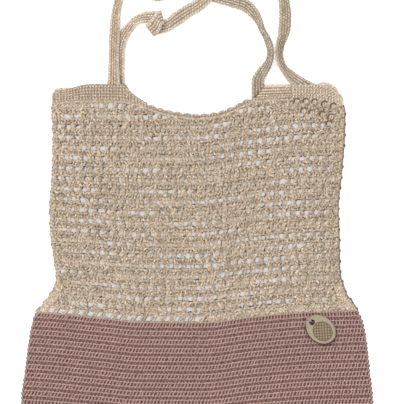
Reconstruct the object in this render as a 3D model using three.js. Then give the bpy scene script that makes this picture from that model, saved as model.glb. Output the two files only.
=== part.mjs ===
// Crocheted produce bag with a dense base, an openwork upper body, two flat straps and a wooden tag.
// The bag lies on its back: +X to its right, +Y towards the straps, +Z up from the surface it lies on.
// The origin is on the underside of the back base panel. All sizes are in millimetres.

import * as THREE from 'three';

// Fabric

const baseThickness = 3.0;
const meshThickness = 2.6;
const bandThickness = 3.0;
const strapThickness = 3.0;
const strapWidth = 13.2;
const strapLayerGap = 0.4;
const clearance = 0.3;

// Bag body

const bottomEdge = -70.4;
const bandTop = 326.7;
const cavityHeight = 6.5;
const mouthCavityHeight = 5.2;
const bottomFillLength = 45;
const mouthFillLength = 120;
const crownPower = 4;
const seamWidth = 2.6;
const edgingHeight = 3.4;
const edgingThickness = 3.2;

// Side outline: height up the bag, reach to the left, reach to the right
const sideOutline = [
  [-70.4, 184, 183],
  [-62, 191, 190],
  [-42, 194.5, 194.5],
  [-20, 194.5, 194.5],
  [7, 191, 191.5],
  [42, 186.5, 188],
  [68, 181.5, 182.5],
  [77, 178, 178],
  [86, 170, 172.5],
  [95, 163, 165.5],
  [104, 158.5, 162.5],
  [112, 155.5, 159.5],
  [130, 157.5, 157.5],
  [165, 162, 157],
  [192, 163, 156],
  [218, 161, 158.5],
  [244, 160, 161],
  [271, 159.5, 163],
  [297, 160.5, 163.5],
  [309, 160.5, 160.5],
  [327, 156, 155],
];

// Line where the base panel meets the mesh: distance across, height
const joiningLine = [[-178, 76], [-160, 75], [-103, 69.5], [-60, 65.5], [6, 65], [62, 71.5], [119, 76], [176, 77.5]];

// Scooped top edge of the mesh: distance across, height
const neckLine = [
  [-160, 307.5], [-130, 310], [-100, 310], [-74, 308.5], [-56, 302], [-26, 293.5], [6, 290.5],
  [23, 293], [45, 301], [60, 309], [80, 311], [104, 312], [125, 311.5], [141, 308.5], [160, 304.5],
];

// Top of the shoulder bands, below the level of the strap roots
const leftBandDrop = [
  [-160.5, 12], [-157, 5], [-150, 3.5], [-136, 3.5], [-120, 0], [-79.8, 0], [-74, 8], [-66, 14], [-55, 21],
];
const rightBandDrop = [[59.5, 13], [60.5, 0], [139, 0], [148, 3], [154, 7], [160, 15]];

// Ends of the shoulder bands, where the neck edging takes over
const leftBandEnd = -55;
const frontRightBandEnd = 104.5;
const backRightBandEnd = 61.5;

// Straps: where the roots stand on the bands, and how wide they are there
const frontStrapLeftRoot = -91.9;
const frontStrapRightRoot = 117.9;
const frontStrapRightRootWidth = 27.5;
const backStrapLeftRoot = -86.5;
const backStrapRightRoot = 66.8;

// Routes of the straps over the surface: distance across, distance above the band top, layers of strap
// underneath, then the direction of half the width as shares of it
const frontStrapRoute = [
  [-91.8, 12, 1.7, 0.94, 0, 0],
  [-91.8, 27, 1.25, 0.84, 0, 0],
  [-91.6, 41, 1.1, 0.84, 0, 0],
  [-91, 54, 1.1, 0.86, -0.05, 0],
  [-90.4, 66, 1, 0.8, -0.05, 0.1],
  [-89.4, 78, 0.4, 0.72, -0.05, 0.35],
  [-86.6, 92.5, 0, 0.68, -0.15, 0.5],
  [-82.5, 115, 0, 0.88, -0.2, 0.2],
  [-73.5, 159.5, 0, 0.95, -0.25, 0],
  [-55, 201, 0, 0.85, -0.5, 0],
  [-26.5, 230, 0, 0.45, -0.89, 0],
  [6.5, 240, 0, 0, -1, 0],
  [40.5, 231, 0, -0.5, -0.87, 0],
  [69.5, 201, 0, -0.85, -0.5, 0],
  [86, 157, 0, -0.96, -0.25, 0],
  [94, 115.5, 0, -0.98, -0.1, 0],
  [95.8, 93.5, 0, -0.85, 0, 0.1],
  [97.2, 82, 0, -0.9, 0, 0],
  [97, 72, 0, -0.94, 0, 0],
  [96.4, 63, 0, -0.96, 0, 0.1],
  [94.9, 54, 0, -0.74, 0.05, 0.5],
  [92.1, 45, 0, -0.55, 0.05, 0.72],
  [90.9, 36.5, 0, -0.42, 0, 0.84],
  [91.7, 27.5, 0.2, -0.48, -0.1, 0.8],
  [94.6, 20, 0.6, -0.62, -0.18, 0.62],
  [100, 14, 1, -0.85, -0.22, 0.35],
  [107.5, 7, 1.4, -1.3, -0.17, 0.15],
];

const backStrapRouteToFold = [
  [-86.5, 12, 0, 0.92, 0, 0],
  [-86.2, 27, 0, 0.92, 0, 0],
  [-85.8, 40, 0, 0.94, -0.06, 0],
  [-82.3, 52.5, 0, 0.84, -0.34, 0],
  [-75, 63, 0.2, 0.62, -0.45, 0.3],
  [-66.3, 72, 0.6, 0.34, -0.64, 0.25],
  [-56, 75, 1, 0.05, -0.9, 0],
  [-48, 75.2, 1.1, 0.12, -0.93, 0],
];

// First fold turns the strap back over itself, and the second one tucks it underneath
const firstFold = { across: -40.4, up: 74, low: 1, high: 2, outwardTurn: 13, halfShare: 1.16 };
const secondFold = { across: -48.6, up: 62.4, low: 0, high: 2, outwardTurn: 215, halfShare: 1.18 };
const betweenFolds = [[-44.6, 67.8, 2, 0.62, -0.98, 0]];

const backStrapRouteFromFold = [
  [-43, 64.3, 0, 0.5, -1.05, 0],
  [-34.5, 65.5, 0, 0.22, -0.97, 0],
  [-22.5, 73.5, 0, 0.6, -0.95, 0],
  [-11, 81.5, 0, 0.58, -0.86, 0],
  [0, 87.5, 0.4, 0.58, -0.82, 0],
  [10.5, 96.5, 1.1, 0.7, -0.68, 0],
  [18.5, 107.5, 0.7, 0.9, -0.42, 0],
  [22.3, 121, 0, 1, 0, 0],
  [15.5, 135, 0, 0.75, 0.66, 0],
  [-4.5, 143.5, 0, 0.1, 0.99, 0],
  [-30, 143.5, 0, -0.1, 0.99, 0],
  [-49.5, 135.5, 0, -0.65, 0.76, 0],
  [-60.2, 119, 0, -0.98, 0.1, 0],
  [-57, 107, 0, -0.86, -0.5, 0],
  [-48, 100.7, 0, -0.2, -0.96, 0],
  [-30, 102.5, 0, 0.05, -0.97, 0],
  [-8, 102.5, 0, -0.02, -1, 0],
  [9.5, 101.5, 0, -0.22, -0.98, 0],
  [24, 97.5, 0, -0.3, -0.97, 0],
  [39.3, 93, 0, -0.32, -0.95, 0],
  [54.8, 87.3, 0, -0.6, -0.78, 0],
  [64, 77.6, 0, -0.62, -0.46, -0.5],
  [68, 70.5, 0, -0.42, -0.3, -0.78],
  [71.6, 61, 0, -0.33, -0.13, -0.88],
  [75.9, 53, 0, -0.33, -0.1, -0.88],
  [79.2, 44.3, 0, -0.4, -0.05, -0.84],
  [80.6, 36.3, 0, -0.42, 0.05, -0.82],
  [79.7, 27.6, 0, -0.5, 0.18, -0.74],
  [76.5, 21.5, 0, -0.62, 0.32, -0.5],
  [71.3, 13.9, 0, -0.76, 0.42, -0.15],
  [67.4, 6.6, 0, -1, 0.05, 0],
];

// Tag and its tie, in the plane of the tag
const tagAcross = 135.4;
const tagUp = 58;
const tagLongRadius = 18.7;
const tagShortRadius = 14.5;
const tagThickness = 3;
const tagChamfer = 0.4;
const tagHoleRadius = 3;
const tagHoleFromCentre = 12;
const tagTurn = 139;
const tieRadius = 1.3;
const tieRimGap = 0.6;
const tieBend = 1.9;

// Fineness of the faceted surfaces

const columnsAcross = 24;
const baseRows = 6;
const meshRows = 13;
const meshRowCrowding = 1.6;
const strapStep = 11;
const foldSteps = 4;

// Materials

function cloth(name, colour) {
  return new THREE.MeshStandardMaterial({ name, color: colour, roughness: 0.95, metalness: 0 });
}

const pinkYarn = cloth('pink_yarn', 0x94766f);
const creamMesh = cloth('cream_mesh', 0xb9a895);
const creamBand = cloth('cream_band', 0xc0b19d);
const creamStrap = cloth('cream_strap', 0xc0ad97);
const tagWood = new THREE.MeshStandardMaterial({ name: 'tag_wood', color: 0xaea28a, roughness: 0.6, metalness: 0 });

// Curves

// Smooth line through points of rising abscissa, which never overshoots a point.
function lineThrough(points) {
  const steps = points.slice(1).map((point, i) => (point[1] - points[i][1]) / (point[0] - points[i][0]));
  const slopes = points.map((_, i) => {
    if (i === 0) return steps[0];
    if (i === steps.length) return steps[i - 1];
    const product = steps[i - 1] * steps[i];
    return product > 0 ? (2 * product) / (steps[i - 1] + steps[i]) : 0;
  });
  return (x) => {
    let i = 0;
    while (i < points.length - 2 && x > points[i + 1][0]) i += 1;
    const span = points[i + 1][0] - points[i][0];
    const t = THREE.MathUtils.clamp((x - points[i][0]) / span, 0, 1);
    const rise = points[i + 1][1] - points[i][1];
    const ease = t * t * (3 - 2 * t);
    const start = t * (1 - t) * (1 - t) * slopes[i];
    const end = t * t * (1 - t) * slopes[i + 1];
    return points[i][1] + rise * ease + span * (start - end);
  };
}

const leftReach = lineThrough(sideOutline.map(([y, left]) => [y, left]));
const rightReach = lineThrough(sideOutline.map(([y, , right]) => [y, right]));
const joiningHeight = lineThrough(joiningLine);
const neckHeight = lineThrough(neckLine);

// Surfaces of the bag: the back panel lies flat, and the front one is crowned over it.

const sideRoll = bandThickness + clearance / 2;

function crown(x, y) {
  const left = -leftReach(y) + sideRoll;
  const right = rightReach(y) - sideRoll;
  const u = THREE.MathUtils.clamp((2 * x - left - right) / (right - left), -1, 1);
  const filled = THREE.MathUtils.smoothstep(y, bottomEdge, bottomEdge + bottomFillLength);
  const mouth = THREE.MathUtils.smoothstep(y, bandTop - mouthFillLength, bandTop);
  const height = THREE.MathUtils.lerp(cavityHeight, mouthCavityHeight, mouth);
  return filled * height * (1 - Math.abs(u) ** crownPower);
}

function frontUnderside(x, y) {
  return Math.max(baseThickness, bandThickness) + clearance + crown(x, y);
}

// Solids

// Closed body between an upper and a lower sheet of points over the same grid.
function closedBody(name, material, columns, rows, upper, lower) {
  const sheets = [upper, lower];
  const vertices = [];
  for (const sheet of sheets) {
    for (let j = 0; j <= rows; j += 1) {
      for (let i = 0; i <= columns; i += 1) vertices.push(...sheet(i / columns, j / rows, i, j));
    }
  }
  const count = (columns + 1) * (rows + 1);
  const at = (sheet, i, j) => sheet * count + j * (columns + 1) + i;
  const faces = [];
  const quad = (a, b, c, d) => faces.push(a, b, c, a, c, d);
  for (let j = 0; j < rows; j += 1) {
    for (let i = 0; i < columns; i += 1) {
      quad(at(0, i, j), at(0, i + 1, j), at(0, i + 1, j + 1), at(0, i, j + 1));
      quad(at(1, i, j), at(1, i, j + 1), at(1, i + 1, j + 1), at(1, i + 1, j));
    }
  }
  for (let i = 0; i < columns; i += 1) {
    quad(at(1, i, 0), at(1, i + 1, 0), at(0, i + 1, 0), at(0, i, 0));
    quad(at(0, i, rows), at(0, i + 1, rows), at(1, i + 1, rows), at(1, i, rows));
  }
  for (let j = 0; j < rows; j += 1) {
    quad(at(0, 0, j), at(0, 0, j + 1), at(1, 0, j + 1), at(1, 0, j));
    quad(at(1, columns, j), at(1, columns, j + 1), at(0, columns, j + 1), at(0, columns, j));
  }
  if (enclosedVolume(vertices, faces) < 0) faces.reverse();
  const geometry = new THREE.BufferGeometry();
  geometry.setAttribute('position', new THREE.Float32BufferAttribute(vertices, 3));
  geometry.setIndex(faces);
  return namedMesh(name, geometry, material);
}

function enclosedVolume(vertices, faces) {
  const corner = (index) => new THREE.Vector3().fromArray(vertices, 3 * index);
  let volume = 0;
  for (let k = 0; k < faces.length; k += 3) {
    const normal = corner(faces[k + 1]).cross(corner(faces[k + 2]));
    volume += corner(faces[k]).dot(normal) / 6;
  }
  return volume;
}

function namedMesh(name, geometry, material) {
  const mesh = new THREE.Mesh(geometry, material.clone());
  mesh.name = name;
  return mesh;
}

// Places on a panel between two lines across the bag, from side to side and from low to high.
// Crowding over one draws the rows together at the low line.
function panelPlace(lowLine, highLine, crowding) {
  const inset = seamWidth + clearance;
  const across = (u, y) => THREE.MathUtils.lerp(-leftReach(y) + inset, rightReach(y) - inset, u);
  const heightOn = (line, u) => {
    let y = line(0);
    for (let pass = 0; pass < 4; pass += 1) y = line(across(u, y));
    return y;
  };
  return (u, v) => {
    const y = THREE.MathUtils.lerp(heightOn(lowLine, u), heightOn(highLine, u), v ** crowding);
    return [across(u, y), y];
  };
}

// Panel with the given underside.
function panel(name, material, rows, place, underside, thickness) {
  const sheet = (rise) => (u, v) => {
    const [x, y] = place(u, v);
    return [x, y, underside(x, y) + rise];
  };
  return closedBody(name, material, columnsAcross, rows, sheet(thickness), sheet(0));
}

const flat = () => 0;
const baseLow = () => bottomEdge + seamWidth + clearance;
const baseHigh = (x) => joiningHeight(x) - clearance / 2;
const meshLow = (x) => joiningHeight(x) + clearance / 2;
const meshHigh = (x) => neckHeight(x) - clearance / 2;
const basePlace = panelPlace(baseLow, baseHigh, 1);
const meshPlace = panelPlace(meshLow, meshHigh, meshRowCrowding);

// Top edge of the mesh panels, as the straight runs between their corner points.
const neckPoints = Array.from({ length: columnsAcross + 1 }, (_, i) => meshPlace(i / columnsAcross, 1));

function neckTop(x) {
  let i = 0;
  while (i < neckPoints.length - 2 && x > neckPoints[i + 1][0]) i += 1;
  const [start, end] = [neckPoints[i], neckPoints[i + 1]];
  const t = THREE.MathUtils.clamp((x - start[0]) / (end[0] - start[0]), 0, 1);
  return THREE.MathUtils.lerp(start[1], end[1], t) + clearance;
}

// Distances across at which a strip along the neck has its corners: its ends, and the points between.
function neckStops(from, to, extra = []) {
  const inner = [...neckPoints.map(([x]) => x), ...extra];
  const [low, high] = [Math.min(from, to), Math.max(from, to)];
  const between = inner.filter((x) => x > low + clearance && x < high - clearance).sort((a, b) => a - b);
  const stops = [low, ...between, high];
  return from < to ? stops : stops.reverse();
}

// Seam beside an edge of two panels, as thick as both together and rounded on its outer side.
function seam(name, material, steps, edge, outward, thickness) {
  const profile = [[0, 0], [0.55, 0], [1, 0.3]];
  const middle = thickness + clearance / 2;
  const half = (sign) => (u, v, i) => {
    const [x, y] = edge(v);
    const [reach, pinch] = profile[i];
    const away = clearance + seamWidth * reach;
    return [x + outward[0] * away, y + outward[1] * away, middle + sign * middle * (1 - pinch)];
  };
  return closedBody(name, material, profile.length - 1, steps, half(1), half(-1));
}

// Shoulder band: one strip that runs along the front, round the side and along the back.
function shoulderBand(name, side, frontEnd, backEnd, dropPoints) {
  const reach = side < 0 ? leftReach : rightReach;
  const dropAt = lineThrough(dropPoints);
  const edgePoint = neckPoints[side < 0 ? 0 : columnsAcross];
  const fold = side * (reach(edgePoint[1]) - sideRoll);
  const corners = dropPoints.map(([x]) => x);
  const front = neckStops(frontEnd, fold, corners);
  const back = neckStops(fold, backEnd, corners);
  const roundSide = 4;
  const middle = bandThickness + clearance / 2;
  const skin = (outer) => {
    const radius = outer ? sideRoll : clearance / 2;
    const points = front.map((x) => [x, frontUnderside(x, neckTop(x)) + (outer ? bandThickness : 0), x]);
    for (let k = 1; k < roundSide; k += 1) {
      const angle = (Math.PI * k) / roundSide;
      const [out, rise] = [Math.sin(angle), Math.cos(angle)];
      points.push([fold + side * radius * out, middle + radius * rise, fold + side * sideRoll * out]);
    }
    points.push(...back.map((x) => [x, outer ? 0 : bandThickness, x]));
    return (u, v, i) => {
      const [x, z, shownX] = points[i];
      return [x, THREE.MathUtils.lerp(neckTop(shownX), bandTop - dropAt(shownX), v), z];
    };
  };
  const columns = front.length + back.length + roundSide - 2;
  return closedBody(name, creamBand, columns, 3, skin(true), skin(false));
}

// Narrow crocheted edge along the scoop, between the ends of the bands.
function neckEdging(name, from, to, underside) {
  const stops = neckStops(from, to);
  const skin = (rise) => (u, v, i) => {
    const low = neckTop(stops[i]);
    return [stops[i], low + edgingHeight * v, underside(stops[i], low) + rise];
  };
  return closedBody(name, creamBand, stops.length - 1, 1, skin(edgingThickness), skin(0));
}

// Straps

const halfWidth = strapWidth / 2;
const layerRise = strapThickness + strapLayerGap;

function station([across, up, layer, shareX, shareY, shareZ]) {
  const height = strapThickness / 2 + Math.abs(shareZ) * halfWidth + layer * layerRise;
  const side = new THREE.Vector3(shareX, shareY, shareZ).multiplyScalar(halfWidth);
  return { centre: new THREE.Vector3(across, bandTop + up, height), side };
}

// Half turn of the strap about a lying axis, from one layer to another.
function foldStations(fold) {
  const turn = THREE.MathUtils.degToRad(fold.outwardTurn);
  const outward = new THREE.Vector3(Math.cos(turn), Math.sin(turn), 0);
  const along = new THREE.Vector3(Math.sin(turn), -Math.cos(turn), 0);
  if (along.y > 0) along.negate();
  const radius = ((fold.high - fold.low) * layerRise) / 2;
  const middle = strapThickness / 2 + fold.low * layerRise + radius;
  const axis = new THREE.Vector3(fold.across, bandTop + fold.up, middle);
  const stations = [];
  for (let k = 0; k <= foldSteps; k += 1) {
    const angle = Math.PI * (k / foldSteps - 0.5);
    const centre = axis.clone().addScaledVector(outward, radius * Math.cos(angle));
    centre.z += radius * Math.sin(angle);
    stations.push({ centre, side: along.clone().multiplyScalar(halfWidth * fold.halfShare) });
  }
  return stations;
}

// Root that stands on a band: its side vector follows the slope of the band's surface.
function rootStation(x, width, direction, height) {
  const left = height(x - width / 2);
  const right = height(x + width / 2);
  const side = new THREE.Vector3(width / 2, 0, (right - left) / 2).multiplyScalar(direction);
  return { centre: new THREE.Vector3(x, bandTop + clearance, (left + right) / 2), side };
}

const frontRootHeight = (x) => frontUnderside(x, neckTop(x)) + bandThickness - strapThickness / 2;
const backRootHeight = () => strapThickness / 2;

const frontStrapStations = [
  rootStation(frontStrapLeftRoot, strapWidth, 1, frontRootHeight),
  ...frontStrapRoute.map(station),
  rootStation(frontStrapRightRoot, frontStrapRightRootWidth, -1, frontRootHeight),
];

const backStrapStations = [
  rootStation(backStrapLeftRoot, strapWidth, 1, backRootHeight),
  ...backStrapRouteToFold.map(station),
  ...foldStations(firstFold),
  ...betweenFolds.map(station),
  ...foldStations(secondFold).reverse(),
  ...backStrapRouteFromFold.map(station),
  rootStation(backStrapRightRoot, strapWidth, -1, backRootHeight),
];

// Smooth run through the stations, measured by the distance between them, no lower than the surface.
function smoothRun(stations) {
  const knots = [0];
  for (let k = 1; k < stations.length; k += 1) {
    knots.push(knots[k - 1] + stations[k].centre.distanceTo(stations[k - 1].centre));
  }
  const slope = (key, k) => {
    const before = Math.max(k - 1, 0);
    const after = Math.min(k + 1, stations.length - 1);
    const secant = (a, b) => stations[b][key].clone().sub(stations[a][key]).divideScalar(knots[b] - knots[a]);
    if (before === k || after === k) return secant(before, after);
    const weight = (knots[after] - knots[k]) / (knots[after] - knots[before]);
    return secant(before, k).lerp(secant(k, after), 1 - weight);
  };
  const value = (key, k, t) => {
    const span = knots[k + 1] - knots[k];
    const point = stations[k][key].clone().lerp(stations[k + 1][key], t * t * (3 - 2 * t));
    point.addScaledVector(slope(key, k), span * t * (1 - t) * (1 - t));
    return point.addScaledVector(slope(key, k + 1), -span * t * t * (1 - t));
  };
  const samples = [];
  for (let k = 0; k < stations.length - 1; k += 1) {
    const parts = Math.max(1, Math.round((knots[k + 1] - knots[k]) / strapStep));
    for (let part = 0; part < parts; part += 1) {
      const centre = value('centre', k, part / parts);
      const side = value('side', k, part / parts);
      centre.z = Math.max(centre.z, strapThickness / 2 + Math.abs(side.z));
      samples.push({ centre, side });
    }
  }
  samples.push(stations[stations.length - 1]);
  return samples;
}

// Flat strap whose long edges are a little thinner than its middle.
function strap(name, stations) {
  const samples = smoothRun(stations);
  const last = samples.length - 1;
  const section = [[-1, 0.5], [-0.8, 1], [0.8, 1], [1, 0.5]];
  const thickness = samples.map(({ side }, j) => {
    const before = samples[Math.max(j - 1, 0)].centre;
    const after = samples[Math.min(j + 1, last)].centre;
    const ahead = after.clone().sub(before);
    if (j === 0 || j === last) ahead.set(0, j === 0 ? 1 : -1, 0);
    return side.clone().cross(ahead).normalize().multiplyScalar(strapThickness / 2);
  });
  const skin = (sign) => (u, v, i, j) => {
    const { centre, side } = samples[j];
    const [reach, rise] = section[i];
    return centre.clone().addScaledVector(side, reach).addScaledVector(thickness[j], sign * rise).toArray();
  };
  return closedBody(name, creamStrap, section.length - 1, last, skin(1), skin(-1));
}

// Tag and tie, placed on the slope of the front base panel

function tagGroup() {
  const probe = 1;
  const surface = (x) => frontUnderside(x, tagUp) + baseThickness;
  const slope = (surface(tagAcross + probe) - surface(tagAcross - probe)) / (2 * probe);
  const group = new THREE.Group();
  group.position.set(tagAcross, tagUp, surface(tagAcross) + clearance);
  group.rotation.y = -Math.atan(slope);
  const flatGroup = new THREE.Group();
  flatGroup.rotation.z = THREE.MathUtils.degToRad(tagTurn);
  flatGroup.add(woodenTag(), tagTie());
  group.add(flatGroup);
  return group;
}

function woodenTag() {
  const outline = new THREE.Shape();
  outline.absellipse(0, 0, tagLongRadius - tagChamfer, tagShortRadius - tagChamfer, 0, 2 * Math.PI);
  const hole = new THREE.Path();
  hole.absarc(tagHoleFromCentre, 0, tagHoleRadius + tagChamfer, 0, 2 * Math.PI, true);
  outline.holes.push(hole);
  const geometry = new THREE.ExtrudeGeometry(outline, {
    depth: tagThickness - 2 * tagChamfer,
    bevelThickness: tagChamfer,
    bevelSize: tagChamfer,
    bevelSegments: 1,
    curveSegments: 20,
  });
  geometry.translate(0, 0, tagChamfer);
  return namedMesh('wooden_tag', geometry, tagWood);
}

// Strand of yarn from the panel, over the rim of the tag and down through its hole.
function tagTie() {
  const outer = tagLongRadius + tieRimGap + tieRadius;
  const top = tagThickness + clearance + tieRadius;
  const point = (x, z) => new THREE.Vector3(x, 0, z);
  const path = new THREE.CurvePath();
  path.add(new THREE.LineCurve3(point(outer, 0), point(outer, top - tieBend)));
  path.add(new THREE.QuadraticBezierCurve3(point(outer, top - tieBend), point(outer, top), point(outer - tieBend, top)));
  path.add(new THREE.LineCurve3(point(outer - tieBend, top), point(tagHoleFromCentre + tieBend, top)));
  path.add(new THREE.QuadraticBezierCurve3(
    point(tagHoleFromCentre + tieBend, top),
    point(tagHoleFromCentre, top),
    point(tagHoleFromCentre, top - tieBend),
  ));
  path.add(new THREE.LineCurve3(point(tagHoleFromCentre, top - tieBend), point(tagHoleFromCentre, 0)));
  const section = new THREE.Shape();
  section.absarc(0, 0, tieRadius, 0, 2 * Math.PI);
  const geometry = new THREE.ExtrudeGeometry(section, {
    steps: 18,
    curveSegments: 4,
    bevelEnabled: false,
    extrudePath: path,
  });
  return namedMesh('tag_tie', geometry, pinkYarn);
}

// Assembly

const left = [-1, 0];
const right = [1, 0];
const down = [0, -1];

const bag = new THREE.Group();
bag.add(
  panel('back_base_panel', pinkYarn, baseRows, basePlace, flat, baseThickness),
  panel('front_base_panel', pinkYarn, baseRows, basePlace, frontUnderside, baseThickness),
  panel('back_mesh_panel', creamMesh, meshRows, meshPlace, flat, meshThickness),
  panel('front_mesh_panel', creamMesh, meshRows, meshPlace, frontUnderside, meshThickness),
  seam('bottom_seam', pinkYarn, columnsAcross, (v) => basePlace(v, 0), down, baseThickness),
  seam('left_base_seam', pinkYarn, baseRows, (v) => basePlace(0, v), left, baseThickness),
  seam('right_base_seam', pinkYarn, baseRows, (v) => basePlace(1, v), right, baseThickness),
  seam('left_mesh_seam', creamMesh, meshRows, (v) => meshPlace(0, v), left, meshThickness),
  seam('right_mesh_seam', creamMesh, meshRows, (v) => meshPlace(1, v), right, meshThickness),
  shoulderBand('left_shoulder_band', -1, leftBandEnd, leftBandEnd, leftBandDrop),
  shoulderBand('right_shoulder_band', 1, frontRightBandEnd, backRightBandEnd, rightBandDrop),
  neckEdging('front_neck_edging', leftBandEnd + clearance, frontRightBandEnd - clearance, frontUnderside),
  neckEdging('back_neck_edging', leftBandEnd + clearance, backRightBandEnd - clearance, flat),
  strap('front_strap', frontStrapStations),
  strap('back_strap', backStrapStations),
  tagGroup(),
);

export default bag;
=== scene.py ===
import math

import bpy
import numpy as np
from mathutils import Matrix


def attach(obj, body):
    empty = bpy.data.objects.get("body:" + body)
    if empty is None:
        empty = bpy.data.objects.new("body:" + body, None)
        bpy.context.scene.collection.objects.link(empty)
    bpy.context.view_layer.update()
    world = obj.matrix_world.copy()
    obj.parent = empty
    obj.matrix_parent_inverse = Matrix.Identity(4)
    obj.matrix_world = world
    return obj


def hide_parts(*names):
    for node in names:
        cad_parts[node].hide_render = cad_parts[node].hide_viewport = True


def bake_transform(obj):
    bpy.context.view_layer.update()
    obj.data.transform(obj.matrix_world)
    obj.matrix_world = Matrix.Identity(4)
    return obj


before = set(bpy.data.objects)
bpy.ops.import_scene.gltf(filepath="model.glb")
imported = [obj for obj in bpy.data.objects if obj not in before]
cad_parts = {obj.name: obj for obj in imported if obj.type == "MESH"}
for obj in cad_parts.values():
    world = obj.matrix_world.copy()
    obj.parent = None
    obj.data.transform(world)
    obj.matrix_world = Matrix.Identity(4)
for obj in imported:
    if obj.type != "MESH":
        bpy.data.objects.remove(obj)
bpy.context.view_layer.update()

bl_info = {
    "name": "Crocheted Produce Bag",
    "version": (1, 0, 0),
    "blender": (4, 5, 0),
    "location": "3D View > Sidebar > Produce Bag",
    "description": "Crochets a flat-lying produce bag strand by strand over its solid frame",
    "category": "Add Mesh",
}

# Sizes shared with the solid model, in millimetres. Every shape is worked out in millimetres,
# and Bundle.piece turns it into metres.

MILLIMETRE = 0.001
UP = (0, 0, 1)
BASE_THICKNESS = 3.0
MESH_THICKNESS = 2.6
BAND_THICKNESS = 3.0
STRAP_THICKNESS = 3.0
STRAP_WIDTH = 13.2
STRAP_LAYER_GAP = 0.4
CLEARANCE = 0.3
BOTTOM_EDGE = -70.4
BAND_TOP = 326.7
CAVITY_HEIGHT = 6.5
MOUTH_CAVITY_HEIGHT = 5.2
BOTTOM_FILL_LENGTH = 45.0
MOUTH_FILL_LENGTH = 120.0
CROWN_POWER = 4
SEAM_WIDTH = 2.6
COLUMNS_ACROSS = 24
SIDE_ROLL = BAND_THICKNESS + CLEARANCE / 2

# Side outline: height up the bag, reach to the left, reach to the right
SIDE_OUTLINE = [
    (-70.4, 184, 183), (-62, 191, 190), (-42, 194.5, 194.5), (-20, 194.5, 194.5), (7, 191, 191.5),
    (42, 186.5, 188), (68, 181.5, 182.5), (77, 178, 178), (86, 170, 172.5), (95, 163, 165.5),
    (104, 158.5, 162.5), (112, 155.5, 159.5), (130, 157.5, 157.5), (165, 162, 157),
    (192, 163, 156), (218, 161, 158.5), (244, 160, 161), (271, 159.5, 163), (297, 160.5, 163.5),
    (309, 160.5, 160.5), (327, 156, 155),
]
# Line where the base ends and line where the openwork ends: distance across, height
JOINING_LINE = [
    (-178, 76), (-160, 75), (-103, 69.5), (-60, 65.5), (6, 65), (62, 71.5), (119, 76), (176, 77.5),
]
NECK_LINE = [
    (-160, 307.5), (-130, 310), (-100, 310), (-74, 308.5), (-56, 302), (-26, 293.5), (6, 290.5),
    (23, 293), (45, 301), (60, 309), (80, 311), (104, 312), (125, 311.5), (141, 308.5),
    (160, 304.5),
]
# How far the top edges of the bands drop below the band top: distance across, drop. The fronts
# drop more at their corners than the backs.
LEFT_BAND_DROP = [
    (-160.5, 12), (-157, 5), (-150, 3.5), (-136, 3.5), (-120, 0), (-79.8, 0), (-74, 8), (-66, 14),
    (-55, 21),
]
LEFT_FRONT_DROP = [
    (-160.5, 13), (-157, 9), (-152, 6.4), (-147, 5.9), (-142, 5.2), (-136, 3.5), (-120, 0),
    (-79.8, 0), (-74, 8), (-66, 14), (-55, 21),
]
RIGHT_BAND_DROP = [
    (59.5, 13), (60.5, 0), (128, 0), (134, -1), (139, -3), (145, -2), (150, 0.5), (155.5, 6.4),
    (160, 14),
]
RIGHT_FRONT_DROP = [
    (59.5, 13), (60.5, 0), (133.5, 0), (142.6, 2), (151.8, 7.3), (157.3, 14), (160, 16.5),
]
# Where the bands end beside the neck
LEFT_BAND_END = -55.0
FRONT_RIGHT_BAND_END = 104.5
BACK_RIGHT_BAND_END = 61.5

# Straps: distance across, distance above the band top, layers of strap underneath, and the
# direction of half the width as shares of it
FRONT_STRAP_ROOTS = (-91.9, 117.9)
FRONT_STRAP_RIGHT_ROOT_WIDTH = 27.5
BACK_STRAP_ROOTS = (-86.5, 66.8)
FRONT_STRAP_ROUTE = [
    (-91.8, 12, 1.7, 0.9, 0, 0), (-91.8, 27, 1.25, 0.8, 0, 0), (-91.6, 41, 1.1, 0.8, 0, 0),
    (-91, 54, 1.1, 0.82, -0.05, 0), (-90.4, 66, 1, 0.78, -0.05, 0.1),
    (-89.4, 78, 0.4, 0.72, -0.05, 0.35), (-86.6, 92.5, 0, 0.68, -0.15, 0.5),
    (-82.5, 115, 0, 0.88, -0.2, 0.2), (-73.5, 159.5, 0, 0.95, -0.25, 0),
    (-55, 201, 0, 0.85, -0.5, 0), (-26.5, 230, 0, 0.45, -0.89, 0), (6.5, 240, 0, 0, -1, 0),
    (40.5, 231, 0, -0.5, -0.87, 0), (69.5, 201, 0, -0.85, -0.5, 0), (86, 157, 0, -0.96, -0.25, 0),
    (94, 115.5, 0, -0.98, -0.1, 0), (95.8, 93.5, 0, -0.85, 0, 0.1), (97.2, 82, 0, -0.9, 0, 0),
    (97, 72, 0, -0.94, 0, 0), (96.4, 63, 0, -0.96, 0, 0.1), (94.7, 54, 0, -0.82, 0.05, 0.5),
    (91.7, 45, 0, -0.7, 0.05, 0.66), (90.4, 36.5, 0, -0.62, 0, 0.72),
    (91.4, 27.5, 0.2, -0.62, -0.1, 0.7), (94.6, 20, 0.6, -0.62, -0.18, 0.62),
    (100, 14, 1, -0.85, -0.22, 0.35), (107.5, 7, 1.4, -1.3, -0.17, 0.15),
]
BACK_STRAP_TO_FOLD = [
    (-86.5, 12, 0, 0.92, 0, 0), (-86.2, 27, 0, 0.92, 0, 0), (-85.8, 40, 0, 0.94, -0.06, 0),
    (-82.3, 52.5, 0, 0.84, -0.34, 0), (-75, 63, 0.2, 0.62, -0.45, 0.3),
    (-66.3, 72, 0.6, 0.34, -0.64, 0.25), (-56, 75, 1, 0.05, -0.9, 0),
    (-48, 75.2, 1.1, 0.12, -0.93, 0),
]
FIRST_FOLD = {"across": -40.4, "up": 74, "low": 1, "high": 2, "turn": 13, "share": 1.16}
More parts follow.
